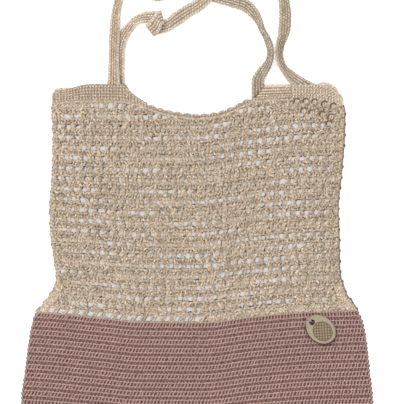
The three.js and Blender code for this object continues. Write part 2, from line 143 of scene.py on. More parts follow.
SECOND_FOLD = {"across": -48.6, "up": 62.4, "low": 0, "high": 2, "turn": 215, "share": 1.18}
BETWEEN_FOLDS = [(-44.6, 67.8, 2, 0.62, -0.98, 0)]
BACK_STRAP_FROM_FOLD = [
    (-43, 64.3, 0, 0.5, -1.05, 0), (-34.5, 65.5, 0, 0.22, -0.97, 0),
    (-22.5, 73.5, 0, 0.6, -0.95, 0), (-11, 81.5, 0, 0.58, -0.86, 0),
    (0, 87.5, 0.4, 0.58, -0.82, 0), (10.5, 96.5, 1.1, 0.7, -0.68, 0),
    (18.5, 107.5, 0.7, 0.9, -0.42, 0), (22.3, 121, 0, 1, 0, 0), (15.5, 135, 0, 0.75, 0.66, 0),
    (-4.5, 143.5, 0, 0.1, 0.99, 0), (-30, 143.5, 0, -0.1, 0.99, 0),
    (-49.5, 135.5, 0, -0.65, 0.76, 0), (-60.2, 119, 0, -0.98, 0.1, 0),
    (-57, 107, 0, -0.86, -0.5, 0), (-48, 100.7, 0, -0.2, -0.96, 0),
    (-30, 102.5, 0, 0.05, -0.97, 0), (-8, 102.5, 0, -0.02, -1, 0),
    (9.5, 101.5, 0, -0.22, -0.98, 0), (24, 97.5, 0, -0.3, -0.97, 0),
    (39.3, 93, 0, -0.32, -0.95, 0), (54.8, 87.3, 0, -0.6, -0.78, 0),
    (64, 77.6, 0, -0.62, -0.46, -0.5), (68, 70.5, 0, -0.42, -0.3, -0.78),
    (71.6, 61, 0, -0.33, -0.13, -0.88), (76.1, 53, 0, -0.38, -0.1, -0.86),
    (79.5, 44.3, 0, -0.47, -0.05, -0.8), (80.9, 36.3, 0, -0.48, 0.05, -0.8),
    (79.7, 27.6, 0, -0.5, 0.18, -0.74), (76.5, 21.5, 0, -0.62, 0.32, -0.5),
    (71.3, 13.9, 0, -0.76, 0.42, -0.15), (67.4, 6.6, 0, -1, 0.05, 0),
]

# Share of a strap's half width that its stitches reach, and from where to where one edge is
# painted darker as shade, where the strap stands on its edge, and lightens again, as shares of
# their length
STRAP_INSET = 0.9
FRONT_STRAP_SHADE = (0.72, 0.78, 0.9, 0.96)
BACK_STRAP_SHADE = (0.83, 0.88, 0.96, 0.985)

# Rings to a stitch of the ridges between rows
RIDGE_FINENESS = 3

# Ropes of the straps: stitches to a turn, rings to a stitch and the swing in rows; and the
# strands in the grooves between them, darkened as painted shade
ROPE_TURN = 1.5
ROPE_FINENESS = 4.2
ROPE_SWING = 0.18
ROPE_RADIUS = 0.88
GROOVE_RADIUS = 0.62
GROOVE_SHADE = 1.5
EDGE_RIDGE_RADIUS = 1.05
# How much darker the painted shade makes one edge of a strap
EDGE_SHADE = 5

# Corner of the back right band, where the strap's rows run on
MITRE = STRAP_WIDTH
MITRE_ROWS = 4
MITRE_STITCHES = 4

# Tag and its tie, in the plane of the tag
TAG_ACROSS = 135.4
TAG_UP = 58.0
TAG_LONG_RADIUS = 18.7
TAG_SHORT_RADIUS = 14.5
TAG_THICKNESS = 3.0
TAG_HOLE_FROM_CENTRE = 12.0
TAG_TURN = 139.0
TIE_RADIUS = 1.3
TIE_RIM_GAP = 0.6
TIE_CORNER = 1.9
TIE_TWIST = 5.0
TIE_STRAND_RADIUS = 0.62
TIE_STRAND_SWING = 0.5

# Burnt lattice of the tag: the distance between lines, half the oval's length and width, and
# how far its centre is from the tag's
LATTICE_PITCH = 4.2
LATTICE_LENGTH = 11.5
LATTICE_WIDTH = 10.2
LATTICE_OFFSET = 3.2

# Twist of the yarn, and how many bumps of noise there are to a metre: single fibres, plies and
# small loops, warmer patches, and broad light and dark areas
PLY_PITCH = 4.2
PLIES = 3
FIBRE_NOISE = 2600
LOOP_NOISE = 760
PATCH_NOISE = 150
BROAD_NOISE = 9

# Base rows: where across the bag their level is read, and the share of the height at which they
# have all of their sag
LEVEL_AT = -103
SAG_FULL = 0.42

# Seams: distances between loops
BOTTOM_LOOP_PITCH = 3.7
SIDE_LOOP_PITCH = 4.9
# Share of half a turn that a loop takes to either side of its outermost point
LOOP_TURN = 0.62

# Neck edging: height of its middle, the swing and radius of its strands, its bumps' pitch, rise
# and radius, half the length and the height of each bump's arcs, and the last place with a bump
EDGING_HEIGHT = 1.6
EDGING_SWING = 0.95
EDGING_RADIUS = 0.85
PICOT_PITCH = 9.9
PICOT_RISE = 2.0
PICOT_RADIUS = 1.0
PICOT_ARCS = ((3.5, 0.0), (1.9, 0.5))
PICOTS_END = 57.0

# Openwork rows: the top rail on the left, the distance between rails, and how a rail sags
TOP_RAIL = 309.4
RAIL_PITCH = 11.55
LEFT_SAG = [(-178, 6.1), (-107, 0), (-60, -4.4), (6, -4.9)]
RIGHT_RISE = [(6, 0), (62, 6.5), (119, 11), (176, 12.5)]
TOP_RISE_SHARE = 1.35
LAST_RAIL_LIFT = 0.9
LAST_RAIL_SHARE = 0.6
# How far the ends of the rails stay inside the sloping sides, how far the rails of the back layer
# stand off, short stitches to a cell and their lean in cells, and the strand under the top edge
RAIL_INSET = 3.6
BACK_RAIL_SHIFT = 1.3
RAIL_STITCHES = 3
RAIL_LEAN = 0.26
TOP_STRAND_DROP = 1.6
TOP_STRAND_RADIUS = 1.5
# Posts: turns of their strands, the swing of the back ones as a share, the chance in their
# places, their lean and how much more they lean on the right, the length and radius of the strand
# slung across them, the radius of the lump behind a back one, how far the back layer's are out of
# step at most, in cells, and the rows that draw together under the right band
POST_TURNS = 1.1
BACK_POST_SHARE = 1.12
POST_CHANCE = 0.45
POST_LEAN, POST_LEAN_MORE = 0.5, 1.2
SLING_LENGTH, SLING_RADIUS = 5.4, 0.75
LUMP_RADIUS = 2.6
MOST_OUT_OF_STEP = 0.38
GATHERED_ROWS = 4
# Loops bunched up there: distance under the band's edge, and the first and last place across
GATHERED_LOOPS = ((3.8, 109.0, 153.0), (14.6, 117.0, 153.0), (24.0, 146.0, 156.0))
GATHERED_PITCH = 10.3
BALL_LENGTH, BALL_RADIUS = 2.9, 2.8
# Dark strand painted as the shadow in the recess over each ball: half the arc's width, its height
# and the strand's radius
HOLLOW_WIDE, HOLLOW_HIGH, HOLLOW_RADIUS = 3.7, 3.6, 0.85
# Strands beside the sloping seams: how high up they end, the first one's distance from the seam,
# the distance between them and their radius
CORNER_TOP = 106.0
CORNER_START = 1.4
CORNER_STEP = 2.0
CORNER_RADIUS = 1.25
# Row that joins the openwork to the base: where it starts and ends across, the pitch, lean and
# spread of its pairs, their radius, and the reach of the short stitches over them
JOINING_START = -169.0
JOINING_END = 162.0
JOINING_PITCH = 10.75
JOINING_LEAN = 5.4
JOINING_SPREAD = 3.7
JOINING_RADIUS = 1.35
JOINING_COVER = 2.6
# Places where the holes of both layers line up in each row: the distance across, and how far
# from there the back layer is most out of step
LINED_UP = [
    [(-92, 35), (69, 25)],
    [(-140, 15), (-56, 45), (52, 18)],
    [(-155, 28), (25, 15), (125, 12)],
    [(-150, 45), (-52, 22), (15, 28), (95, 60)],
    [(-105, 25), (75, 75)],
    [(-130, 15), (52, 40)],
    [(-150, 50), (-62, 30), (60, 30), (115, 25)],
    [(-152, 35), (115, 35)],
    [(-132, 40), (-35, 35), (92, 22), (155, 15)],
    [(-130, 45), (15, 45), (88, 30)],
    [(-120, 40), (-60, 20), (92, 45)],
    [(-110, 45), (-10, 32), (100, 45)],
    [(-132, 38), (-62, 20), (17, 42)],
    [(-92, 22), (70, 80)],
    [(-108, 50), (-10, 42), (100, 30)],
    [(10, 125)],
    [(-152, 32), (55, 85)],
    [(-95, 50), (8, 20), (85, 38)],
    [(-70, 28), (-8, 18), (42, 40)],
    [(-115, 35), (-10, 22), (80, 42)],
]

# First seeds of the draws. The second piece of a pair takes the next one.
BASE_SEED, OPENWORK_SEED, SEAM_SEED, BAND_SEED, EDGING_SEED, STRAP_SEED = 11, 21, 31, 41, 51, 61

# Stage: how far the floor lies under the bag and half its width, in metres, its colour, the
# lamp's spread and turn in degrees, the place that the camera is over, and its sensor
FLOOR_DROP = 0.0022
FLOOR_REACH = 3.0
FLOOR_COLOUR = (0.86, 0.86, 0.88, 1)
LAMP_SPREAD = 32
LAMP_TURN = (-28, -30, 0)
CAMERA_OVER = (0.0055, 0.198)
SENSOR_WIDTH = 36
WHITE = (1, 1, 1, 1)


# Curves and surfaces


def smooth_line(points):
    """Line through points of rising abscissa that never overshoots one. Between two points it is
    the cubic with their heights and with the harmonic mean of the neighbouring slopes."""
    at, height = np.array(points, float).T
    steps = np.diff(height) / np.diff(at)
    product = steps[:-1] * steps[1:]
    total = np.where(product > 0, steps[:-1] + steps[1:], 1)
    slopes = np.concatenate([steps[:1], np.where(product > 0, 2 * product / total, 0), steps[-1:]])

    def line(x):
        x = np.asarray(x, float)
        i = np.clip(np.searchsorted(at, x) - 1, 0, len(at) - 2)
        span = at[i + 1] - at[i]
        t = np.clip((x - at[i]) / span, 0, 1)
        start = t * (1 - t) ** 2 * slopes[i]
        end = t * t * (1 - t) * slopes[i + 1]
        return height[i] + (height[i + 1] - height[i]) * t * t * (3 - 2 * t) + span * (start - end)

    return line


left_reach = smooth_line([(y, left) for y, left, _ in SIDE_OUTLINE])
right_reach = smooth_line([(y, right) for y, _, right in SIDE_OUTLINE])
joining_height = smooth_line(JOINING_LINE)
neck_height = smooth_line(NECK_LINE)
left_sag = smooth_line(LEFT_SAG)
right_rise = smooth_line(RIGHT_RISE)


def mix(a, b, share):
    """Value at a share of the way from a to b."""
    return a + (b - a) * share


def eased(x, low, high):
    """Share from 0 at low to 1 at high, level at both ends: 3 t squared less 2 t cubed."""
    t = np.clip((x - low) / (high - low), 0, 1)
    return t * t * (3 - 2 * t)


def crown(x, y):
    """Height of the front layer over the back one: the cavity height times one less the fourth
    power of the place across, from -1 to 1, and easing in above the bottom edge."""
    left = -left_reach(y) + SIDE_ROLL
    right = right_reach(y) - SIDE_ROLL
    u = np.clip((2 * x - left - right) / (right - left), -1, 1)
    mouth = eased(y, BAND_TOP - MOUTH_FILL_LENGTH, BAND_TOP)
    height = mix(CAVITY_HEIGHT, MOUTH_CAVITY_HEIGHT, mouth)
    filled = eased(y, BOTTOM_EDGE, BOTTOM_EDGE + BOTTOM_FILL_LENGTH)
    return filled * height * (1 - np.abs(u) ** CROWN_POWER)


def front_underside(x, y):
    """Underside of the front layer: one thickness, the clearance and the crown."""
    return BASE_THICKNESS + CLEARANCE + crown(x, y)


def place_across(u, y):
    """Distance across at a share u of the way between the panel's side edges at height y."""
    inset = SEAM_WIDTH + CLEARANCE
    return mix(-left_reach(y) + inset, right_reach(y) - inset, u)


def height_on(line, u):
    """Height at which a line across the bag meets the place u, by repeated substitution."""
    y = line(np.zeros_like(u))
    for _ in range(4):
        y = line(place_across(u, y))
    return y


def neck_stops():
    """Corner points of the top edge of the openwork panels."""
    u = np.linspace(0, 1, COLUMNS_ACROSS + 1)
    y = height_on(lambda x: neck_height(x) - CLEARANCE / 2, u)
    return place_across(u, y), y


NECK_X, NECK_Y = neck_stops()


def neck_top(x):
    """Lower edge of the bands and the edging: straight runs between the panel's corners."""
    return np.interp(x, NECK_X, NECK_Y) + CLEARANCE


def rail_height(row, x):
    """Height of a rail of the openwork, row 0 being the top one: even steps down, plus a sag on
    the left that grows downwards and a rise on the right that shrinks downwards."""
    low = row / len(LINED_UP)
    lift = LAST_RAIL_LIFT if row == len(LINED_UP) else 0
    rise = mix(TOP_RISE_SHARE, 1, low) * right_rise(x) + lift
    return TOP_RAIL - RAIL_PITCH * row + low * left_sag(x) + rise


def run_along(points):
    """Distance along a line up to each of its points."""
    return np.concatenate([[0], np.cumsum(np.linalg.norm(np.diff(points, axis=0), axis=1))])


def unit(vectors):
    """Vectors of length one."""
    return vectors / np.maximum(np.linalg.norm(vectors, axis=-1, keepdims=True), 1e-9)


def stack(*parts):
    """Points or vectors from their three coordinates."""
    return np.stack(np.broadcast_arrays(*[np.asarray(p, float) for p in parts]), -1)


# Strands


class Bundle:
    """Strands, cores and whatever else makes up one piece, gathered as whole arrays."""

    def __init__(self):
        self.points, self.corners, self.sizes, self.maps = [], [], [], []
        self.tones, self.depths, self.warms = [], [], []
        self.count = 0

    def add(self, points, faces, maps, tone, depth, warm=0.0):
        """Takes points (n, 3), groups of faces as corner arrays with their map coordinates, and
        the brightness, the painted shade of depth and the warmth of each point. The brightness
        holds random differences, painted highlights and painted shade."""
        for group, group_map in zip(faces, maps):
            self.corners.append((group + self.count).ravel())
            self.sizes.append(np.full(group.size // group.shape[-1], group.shape[-1]))
            self.maps.append(group_map.reshape(-1, 2))
        self.points.append(points)
        self.tones.append(np.broadcast_to(tone, len(points)))
        self.depths.append(np.broadcast_to(depth, len(points)))
        self.warms.append(np.broadcast_to(warm, len(points)))
        self.count += len(points)

    def strands(self, paths, radius, facing, sides=5, tone=0.0, depth=0.0, flat=1.0, warm=0.0):
        """Closed strands along paths (strand, ring, 3). A point of a ring stands at the path plus
        radius times cosine of its angle along the facing direction, squared to the path, plus
        radius times sine of it across. Map: millimetres along, turns around."""
        paths = np.asarray(paths, float)
        count, rings = paths.shape[:2]
        ahead = unit(np.gradient(paths, axis=1))
        facing = np.broadcast_to(facing, paths.shape)
        out = unit(facing - (facing * ahead).sum(-1, keepdims=True) * ahead)
        across = np.cross(ahead, out)
        angle = (2 * np.pi * np.arange(sides) / sides)[:, None]
        radius = np.broadcast_to(radius, (count, rings))[..., None, None]
        turned = flat * np.cos(angle) * out[:, :, None] + np.sin(angle) * across[:, :, None]
        points = paths[:, :, None] + radius * turned
        length = np.zeros((count, rings))
        length[:, 1:] = np.cumsum(np.linalg.norm(np.diff(paths, axis=1), axis=-1), 1)
        index = np.arange(count * rings * sides).reshape(count, rings, sides)
        beside = np.roll(index, -1, 2)
        quads = np.stack([index[:, :-1], beside[:, :-1], beside[:, 1:], index[:, 1:]], -1)
        turns = np.arange(sides) / sides
        quad_map = np.zeros((*quads.shape, 2))
        quad_map[..., :2, 0] = length[:, :-1, None, None]
        quad_map[..., 2:, 0] = length[:, 1:, None, None]
        quad_map[..., 0, 1] = quad_map[..., 3, 1] = turns
        quad_map[..., 1, 1] = quad_map[..., 2, 1] = turns + 1 / sides
        caps = np.concatenate([index[:, 0, ::-1], index[:, -1]])
        cap_map = np.zeros((*caps.shape, 2))
        cap_map[:count, :, 1] = turns[::-1]
        cap_map[count:, :, 0] = length[:, -1:]
        cap_map[count:, :, 1] = turns
        spread = np.ones((1, 1, sides))
        tone = np.asarray(tone, float)
        tone = tone if tone.ndim == 2 else tone.reshape(-1, 1)
        tone = np.broadcast_to(tone, (count, rings))[..., None] * spread
        depth = np.broadcast_to(depth, (count, rings))[..., None] * spread
        self.add(points.reshape(-1, 3), [quads, caps], [quad_map, cap_map], tone.ravel(),
                 depth.ravel(), warm)

    def core(self, surface, along, across, low, high, depth=1.0):
        """Closed slab that follows a surface, between two heights over it, painted towards the
        deep colour as shade, fully unless a smaller share is given.
        """
        a, b = np.meshgrid(along, across, indexing="ij")
        middle, normal = surface(a, b)
        m, n = a.shape
        points = np.concatenate([(middle + normal * h).reshape(-1, 3) for h in (high, low)])
        at = np.arange(2 * m * n).reshape(2, m, n)
        quads = [
            np.stack([at[0, :-1, :-1], at[0, 1:, :-1], at[0, 1:, 1:], at[0, :-1, 1:]], -1),
            np.stack([at[1, :-1, :-1], at[1, :-1, 1:], at[1, 1:, 1:], at[1, 1:, :-1]], -1),
            np.stack([at[1, :-1, 0], at[1, 1:, 0], at[0, 1:, 0], at[0, :-1, 0]], -1),
            np.stack([at[0, :-1, -1], at[0, 1:, -1], at[1, 1:, -1], at[1, :-1, -1]], -1),
            np.stack([at[0, 0, :-1], at[0, 0, 1:], at[1, 0, 1:], at[1, 0, :-1]], -1),
            np.stack([at[1, -1, :-1], at[1, -1, 1:], at[0, -1, 1:], at[0, -1, :-1]], -1),
        ]
        faces = np.concatenate([q.reshape(-1, 4) for q in quads])
        p = points[faces]
        volume = sum((np.cross(p[:, k], p[:, k + 1]) * p[:, 0]).sum() for k in (1, 2))
        if volume < 0:
            faces = faces[:, ::-1]
        self.add(points, [faces], [points[faces][..., :2]], 0.0, depth)

    def piece(self, name, material):
        """Mesh object of all that was gathered, in metres, with its map, its brightness with
        painted highlights and shade, its painted shade of depth, and its warmth.
        """
        mesh = bpy.data.meshes.new(name)
        points = np.concatenate(self.points) * MILLIMETRE
        corners = np.concatenate(self.corners)
        sizes = np.concatenate(self.sizes)
        mesh.vertices.add(len(points))
        mesh.vertices.foreach_set("co", points.astype(np.float32).ravel())
        mesh.loops.add(len(corners))
        mesh.loops.foreach_set("vertex_index", corners.astype(np.int32))
        mesh.polygons.add(len(sizes))
        starts = np.concatenate([[0], np.cumsum(sizes)[:-1]])
        mesh.polygons.foreach_set("loop_start", starts.astype(np.int32))
        mesh.update(calc_edges=True)
        mesh.shade_smooth()
        layer = mesh.uv_layers.new(name="strand")
        layer.uv.foreach_set("vector", np.concatenate(self.maps).astype(np.float32).ravel())
        for key, values in (("tone", self.tones), ("depth", self.depths), ("warm", self.warms)):
            attribute = mesh.attributes.new(key, "FLOAT", "POINT")
            attribute.data.foreach_set("value", np.concatenate(values).astype(np.float32))
        mesh.materials.append(material)
        made = bpy.data.objects.new(name, mesh)
        bpy.context.scene.collection.objects.link(made)
        return made


def settle(bundle, name, material, body, slot, *nodes):
    """Puts a finished bundle into the scene, in place of its solid nodes and on its body; a
    strap's piece instead keeps no parent and has its place baked into its points."""
    made = bundle.piece(name, material)
    if body in ("front_strap", "back_strap"):
        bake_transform(made)
    else:
        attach(made, body)
    if nodes:
        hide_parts(*nodes)
    return made


def lifted(surface, a, b, height):
    """Points at a height over a surface, and the direction away from it."""
    point, normal = surface(a, b)
    return point + normal * np.asarray(height, float)[..., None], normal


def ridge_rows(bundle, surface, rows, stitches, draw, radius, height, wave, edge=1.0, bead=0.2,
               tone=0.5, depth=0.1, warm=0.0):
    """Chain ridges along the rows of a fabric: the place up the rows swings by a sine of the
    stitch number, and the height and the radius by a cosine, with a little chance."""
    a = np.linspace(0, stitches, stitches * RIDGE_FINENESS + 1)
    a, b = np.broadcast_arrays(a, np.asarray(rows, float)[:, None])
    swing = 2 * np.pi * (a + 0.5 * (b % 2))
    rise = height + 0.25 * np.cos(swing) + 0.12 * draw.standard_normal(a.shape)
    place = b + wave * np.sin(swing) + 0.03 * draw.standard_normal(a.shape)
    path, normal = lifted(surface, a, place, rise)
    size = radius * (1 + bead * np.cos(swing) + 0.12 * draw.standard_normal(a.shape))
    size[[0, -1]] *= edge
    # Painted highlight where the ridge rises, painted shade where it dips, plus random differences
    tone = tone + 1.3 * np.cos(swing) + 0.9 * draw.standard_normal(a.shape)
    bundle.strands(path, size, normal, 4, tone, depth, warm=warm)


def rope_rows(bundle, surface, rows, stitches, draw, height, tone, warm):
    """Rows that run lengthwise as ropes of two strands wound about each other, a cosine across the
    row and a sine in height, with a painted highlight where a strand is on top and at each stitch,
    painted shade where it is low and between stitches, and dark strands in the grooves between the
    ropes, painted as their shade. The brightness is given for each ring."""
    a = np.linspace(0, stitches, round(stitches * ROPE_FINENESS) + 1)
    for strand in range(2):
        b = np.arange(rows)[:, None] + 0.5
        start = 2 * np.pi * (strand / 2 + 0.37 * np.arange(rows)[:, None])
        angle = start + 2 * np.pi * a / ROPE_TURN + 0.3 * draw.standard_normal((rows, len(a)))
        rise = height + 0.5 * np.sin(angle)
        path, normal = lifted(surface, a + 0 * angle, b + ROPE_SWING * np.cos(angle), rise)
        size = ROPE_RADIUS * (1 + 0.1 * draw.standard_normal(angle.shape))
        beads = np.cos(2 * np.pi * (a + 0.5 * b))
        light = tone + np.sin(angle) + 2 * beads + 0.8 * draw.standard_normal(angle.shape)
        depth = 0.3 - 0.3 * np.sin(angle) + 0.2 * (1 - beads)
        bundle.strands(path, size, normal, 5, light, depth, warm=warm)
    a = np.linspace(0, stitches, stitches + 1)
    a, b = np.broadcast_arrays(a, np.arange(1.0, rows)[:, None])
    path, normal = lifted(surface, a, b, height + 0.55 + 0.25 * draw.standard_normal(a.shape))
    light = np.interp(a, (0, stitches / 2, stitches), tone[[0, len(tone) // 2, -1]])
    bundle.strands(path, GROOVE_RADIUS, normal, 5, light - GROOVE_SHADE, 1.0, warm=warm)


def bar_rows(bundle, surface, rows, stitches, draw, radius, height, arch, lean, depth, jitter,
             rings=4, reach=0.8, stagger=0.5, tone=0.0):
    """Stitches standing between the ridges: each leans across its row and arches over it by a
    sine of the way up."""
    t = np.linspace(0, 1, rings)
    row, stitch = np.meshgrid(rows, np.arange(stitches), indexing="ij")
    row, stitch = row.reshape(-1, 1).astype(float), stitch.reshape(-1, 1) + 0.5
    stitch = stitch + stagger * (row % 2 - 0.5) + jitter * draw.standard_normal(stitch.shape)
    tilt = lean * (1 + 0.25 * draw.standard_normal(stitch.shape))
    a = np.clip(stitch + tilt * (t - 0.5), 0, stitches)
    b = row + 0.5 + reach * (t - 0.5)
    path, normal = lifted(surface, a, b, height + arch * np.sin(np.pi * t) + 0 * a)
    tone = tone + 0.6 * draw.standard_normal(len(path))
    # Painted shade at the feet of each stitch by the first share and at the top of its arch by the
    # second
    bundle.strands(path, radius * (0.75 + 0.25 * np.sin(np.pi * t)), normal, 5, tone,
                   mix(*depth, np.sin(np.pi * t)))


# Colours and materials


def from_screen(red, green, blue):
    """Linear colour from one written in 0 to 255 as a screen shows it."""
    share = np.array([red, green, blue]) / 255
    return tuple(np.where(share <= 0.04045, share / 12.92, ((share + 0.055) / 1.055) ** 2.4))


class Signal:
    """A number, colour or vector on its way through a material's nodes. Sums with it add Math
    nodes."""

    def __init__(self, bench, socket):
        self.bench, self.socket = bench, socket

    def _math(self, operation, first, second=None):
        values = {0: first} if second is None else {0: first, 1: second}
        return self.bench.node("ShaderNodeMath", {"operation": operation}, values)

    def __add__(self, other):
        return self._math("ADD", self, other)

    def __sub__(self, other):
        return self._math("SUBTRACT", self, other)

    def __rsub__(self, other):
        return self._math("SUBTRACT", other, self)

    def __mul__(self, other):
        return self._math("MULTIPLY", self, other)

    def __truediv__(self, other):
        return self._math("DIVIDE", self, other)

    def __abs__(self):
        return self._math("ABSOLUTE", self)

    __radd__, __rmul__ = __add__, __mul__

    def sine(self):
        return self._math("SINE", self)

    def fraction(self):
        return self._math("FRACT", self)

    def within(self, low, high):
        """Share of the way from low to high, kept between 0 and 1."""
        inputs = {"Value": self, "From Min": low, "From Max": high}
        return self.bench.node("ShaderNodeMapRange", {"clamp": True}, inputs)


class Bench:
    """Node tree of one material, with its Principled shader."""

    def __init__(self, name, **constants):
        self.material = bpy.data.materials.new(name)
        self.material.use_nodes = True
        self.tree = self.material.node_tree
        self.shader = self.tree.nodes["Principled BSDF"]
        for socket, value in constants.items():
            self.shader.inputs[socket.replace("_", " ")].default_value = value

    def node(self, kind, settings=None, inputs=None, output=0):
        """Adds a node of a type, with its settings first and then its sockets, and gives one of
        its outputs."""
        made = self.tree.nodes.new(kind)
        for key, value in (settings or {}).items():
            setattr(made, key, value)
        for key, value in (inputs or {}).items():
            self.feed(made.inputs[key], value)
        return Signal(self, made.outputs[output])

    def feed(self, socket, value):
        """Links a signal to a socket, or sets the socket's value."""
        if isinstance(value, Signal):
            self.tree.links.new(value.socket, socket)
        else:
            socket.default_value = value

    def mixed(self, share, first, second):
        """Colour at a share of the way from the first to the second."""
        inputs = {0: share, 6: first, 7: second}
        return self.node("ShaderNodeMix", {"data_type": "RGBA"}, inputs, 2)

    def scaled(self, colour, by):
        """Colour multiplied by a number."""
        return self.node("ShaderNodeVectorMath", {"operation": "SCALE"}, {0: colour, "Scale": by})

    def parts(self, vector):
        """The three numbers of a vector."""
        split = self.node("ShaderNodeSeparateXYZ", None, {0: vector})
        return [Signal(self, socket) for socket in split.socket.node.outputs]

    def attribute(self, key):
        """Number that is kept with each point of the mesh."""
        return self.node("ShaderNodeAttribute", {"attribute_name": key}, output="Fac")

    def noise(self, vector, scale, detail):
        """Noise from 0 to 1."""
        inputs = {"Vector": vector, "Scale": scale, "Detail": detail}
        return self.node("ShaderNodeTexNoise", None, inputs)

    def finish(self, colour, roughness, height, distance, strength):
        """Feeds the shader what varies over the surface."""
        inputs = {"Height": height, "Distance": distance, "Strength": strength}
        self.feed(self.shader.inputs["Base Color"], colour)
        self.feed(self.shader.inputs["Roughness"], roughness)
        self.feed(self.shader.inputs["Normal"], self.node("ShaderNodeBump", None, inputs))
        return self.material


def yarn(name, colour, warm, deep, shade, grain):
    """Twisted cotton: plies as a sine of the length along the strand and the turn around it, with
    painted shade in their grooves; painted shade towards the deep colour where a point is kept as
    deep in the fabric, down to a share of their light; the brightness kept with each point, which
    holds painted highlights and shade as well as random differences; and mottled by fine fibres,
    by small loops as strongly as the grain says, and by broad patches."""
    bench = Bench(name, Specular_IOR_Level=0.25, Sheen_Weight=0.12, Sheen_Roughness=0.6)
    place = bench.node("ShaderNodeTexCoord", output="Object")
    along, around, _ = bench.parts(bench.node("ShaderNodeUVMap", {"uv_map": "strand"}))
    tone, depth, warmth = (bench.attribute(key) for key in ("tone", "depth", "warm"))
    plies = ((along * (2 * math.pi / PLY_PITCH)) + around * (2 * math.pi * PLIES)).sine()
    fibre = bench.noise(place, FIBRE_NOISE, 3)
    loops = bench.noise(place, LOOP_NOISE, 0)
    patches = bench.noise(place, PATCH_NOISE, 3)
    broad = bench.noise(place, BROAD_NOISE, 2)
    mottle = 0.87 - grain / 2 + fibre * 0.16 + loops * grain + broad * 0.1
    # Painted light and shade: the kept brightness, and the darker ply grooves
    light = (1 + tone * 0.08 + plies * 0.07) * mottle
    paint = bench.mixed((patches.within(0.35, 0.7) * 0.5 + warmth).within(0, 1), colour, warm)
    # Painted shade: a mix towards the deep colour by how deep a point lies in the fabric
    paint = bench.mixed(depth * (1 - shade), paint, deep)
    return bench.finish(
        bench.scaled(paint, light), 0.86 + fibre * 0.12, plies * 0.5 + fibre * 0.8, 0.00016, 0.7
    )


def wood(name, colour, grain, burnt, cut):
    """Thin plywood: long streaks of noise squeezed across the grain, a burnt lattice of crossing
    lines inside an oval, and darker cut edges with a faintly burnt rim, which painted shade
    darkens much more on one side."""
    bench = Bench(name, Specular_IOR_Level=0.35)
    place = bench.node("ShaderNodeTexCoord", output="Object")
    at = tag_frame()
    local = bench.node(
        "ShaderNodeMapping", {"vector_type": "TEXTURE"},
        {0: place, "Location": at.translation, "Rotation": at.to_3x3().to_euler()},
    )
    along, across, up = bench.parts(bench.scaled(local, 1 / MILLIMETRE))
    long = bench.node("ShaderNodeCombineXYZ", None, {0: along * 0.1, 1: across * 1.3, 2: up * 0.4})
    fine = bench.node("ShaderNodeCombineXYZ", None, {0: along * 0.6, 1: across * 7, 2: up})
    streaks, pores = bench.noise(long, 1.0, 5), bench.noise(fine, 1.0, 2)
    paint = bench.mixed(streaks.within(0.3, 0.7), colour, grain)
    paint = bench.mixed(pores.within(0.6, 0.8) * 0.35, paint, grain)
    rising = abs(((along + across) / LATTICE_PITCH).fraction() - 0.5)
    falling = abs(((along - across) / LATTICE_PITCH).fraction() - 0.5)
    lines = 1 - rising.within(0.15, 0.22) * falling.within(0.15, 0.22)
    x, y = (along + LATTICE_OFFSET) / LATTICE_LENGTH, across / LATTICE_WIDTH
    reach = x * x + y * y
    inside = 1 - reach.within(0.96, 1.04)
    rim = reach.within(0.80, 0.86) * inside
    top = up.within(TAG_THICKNESS - 0.5, TAG_THICKNESS - 0.3)
    mark = (lines * inside + rim).within(0, 1) * top
    edge = 1 - top
    ax, ay = along / TAG_LONG_RADIUS, across / TAG_SHORT_RADIUS
    # The rim is faintly burnt all round; the rest of its darkness, on one side, is painted shade
    shaded_side = 0.2 + (across - along * 0.25).within(0, 6) * 0.8
    scorch_and_shade = (ax * ax + ay * ay).within(0.85, 0.91) * shaded_side
    paint = bench.mixed((inside * top) * 0.16, paint, burnt)
    paint = bench.mixed(mark * (0.85 + pores * 0.25), paint, burnt)
    paint = bench.mixed((scorch_and_shade * top + edge * 0.8).within(0, 1), paint, cut)
    return bench.finish(paint, 0.58 + streaks * 0.2, pores * 0.3 - mark, 0.0002, 0.8)


# Surfaces of the pieces


def base_surface(front, stitches, rows):
    """Middle of a base panel by stitch and row. A row stands at its share of the way from the
    bottom edge to the joining line's level, plus that line's sag, which eases in with height."""
    def surface(stitch, row):
        u, v = stitch / stitches, row / rows
        high = height_on(lambda x: joining_height(x) - CLEARANCE / 2, u)
        level = float(joining_height(LEVEL_AT))
        sag = (high - level) * eased(v, 0, SAG_FULL)
        y = mix(BOTTOM_EDGE + SEAM_WIDTH + CLEARANCE, level, v) + sag
        x = place_across(u, y)
        z = BASE_THICKNESS / 2 + (front_underside(x, y) if front else 0 * x)
        return stack(x, y, z), stack(0 * x, 0 * x, 1 if front else -1)
    return surface


def mesh_point(front, x, y, height):
    """Point of an openwork panel, at a height over its middle towards its outer side."""
    if front:
        return stack(x, y, front_underside(x, y) + MESH_THICKNESS / 2 + height)
    return stack(x, y, MESH_THICKNESS / 2 - height)


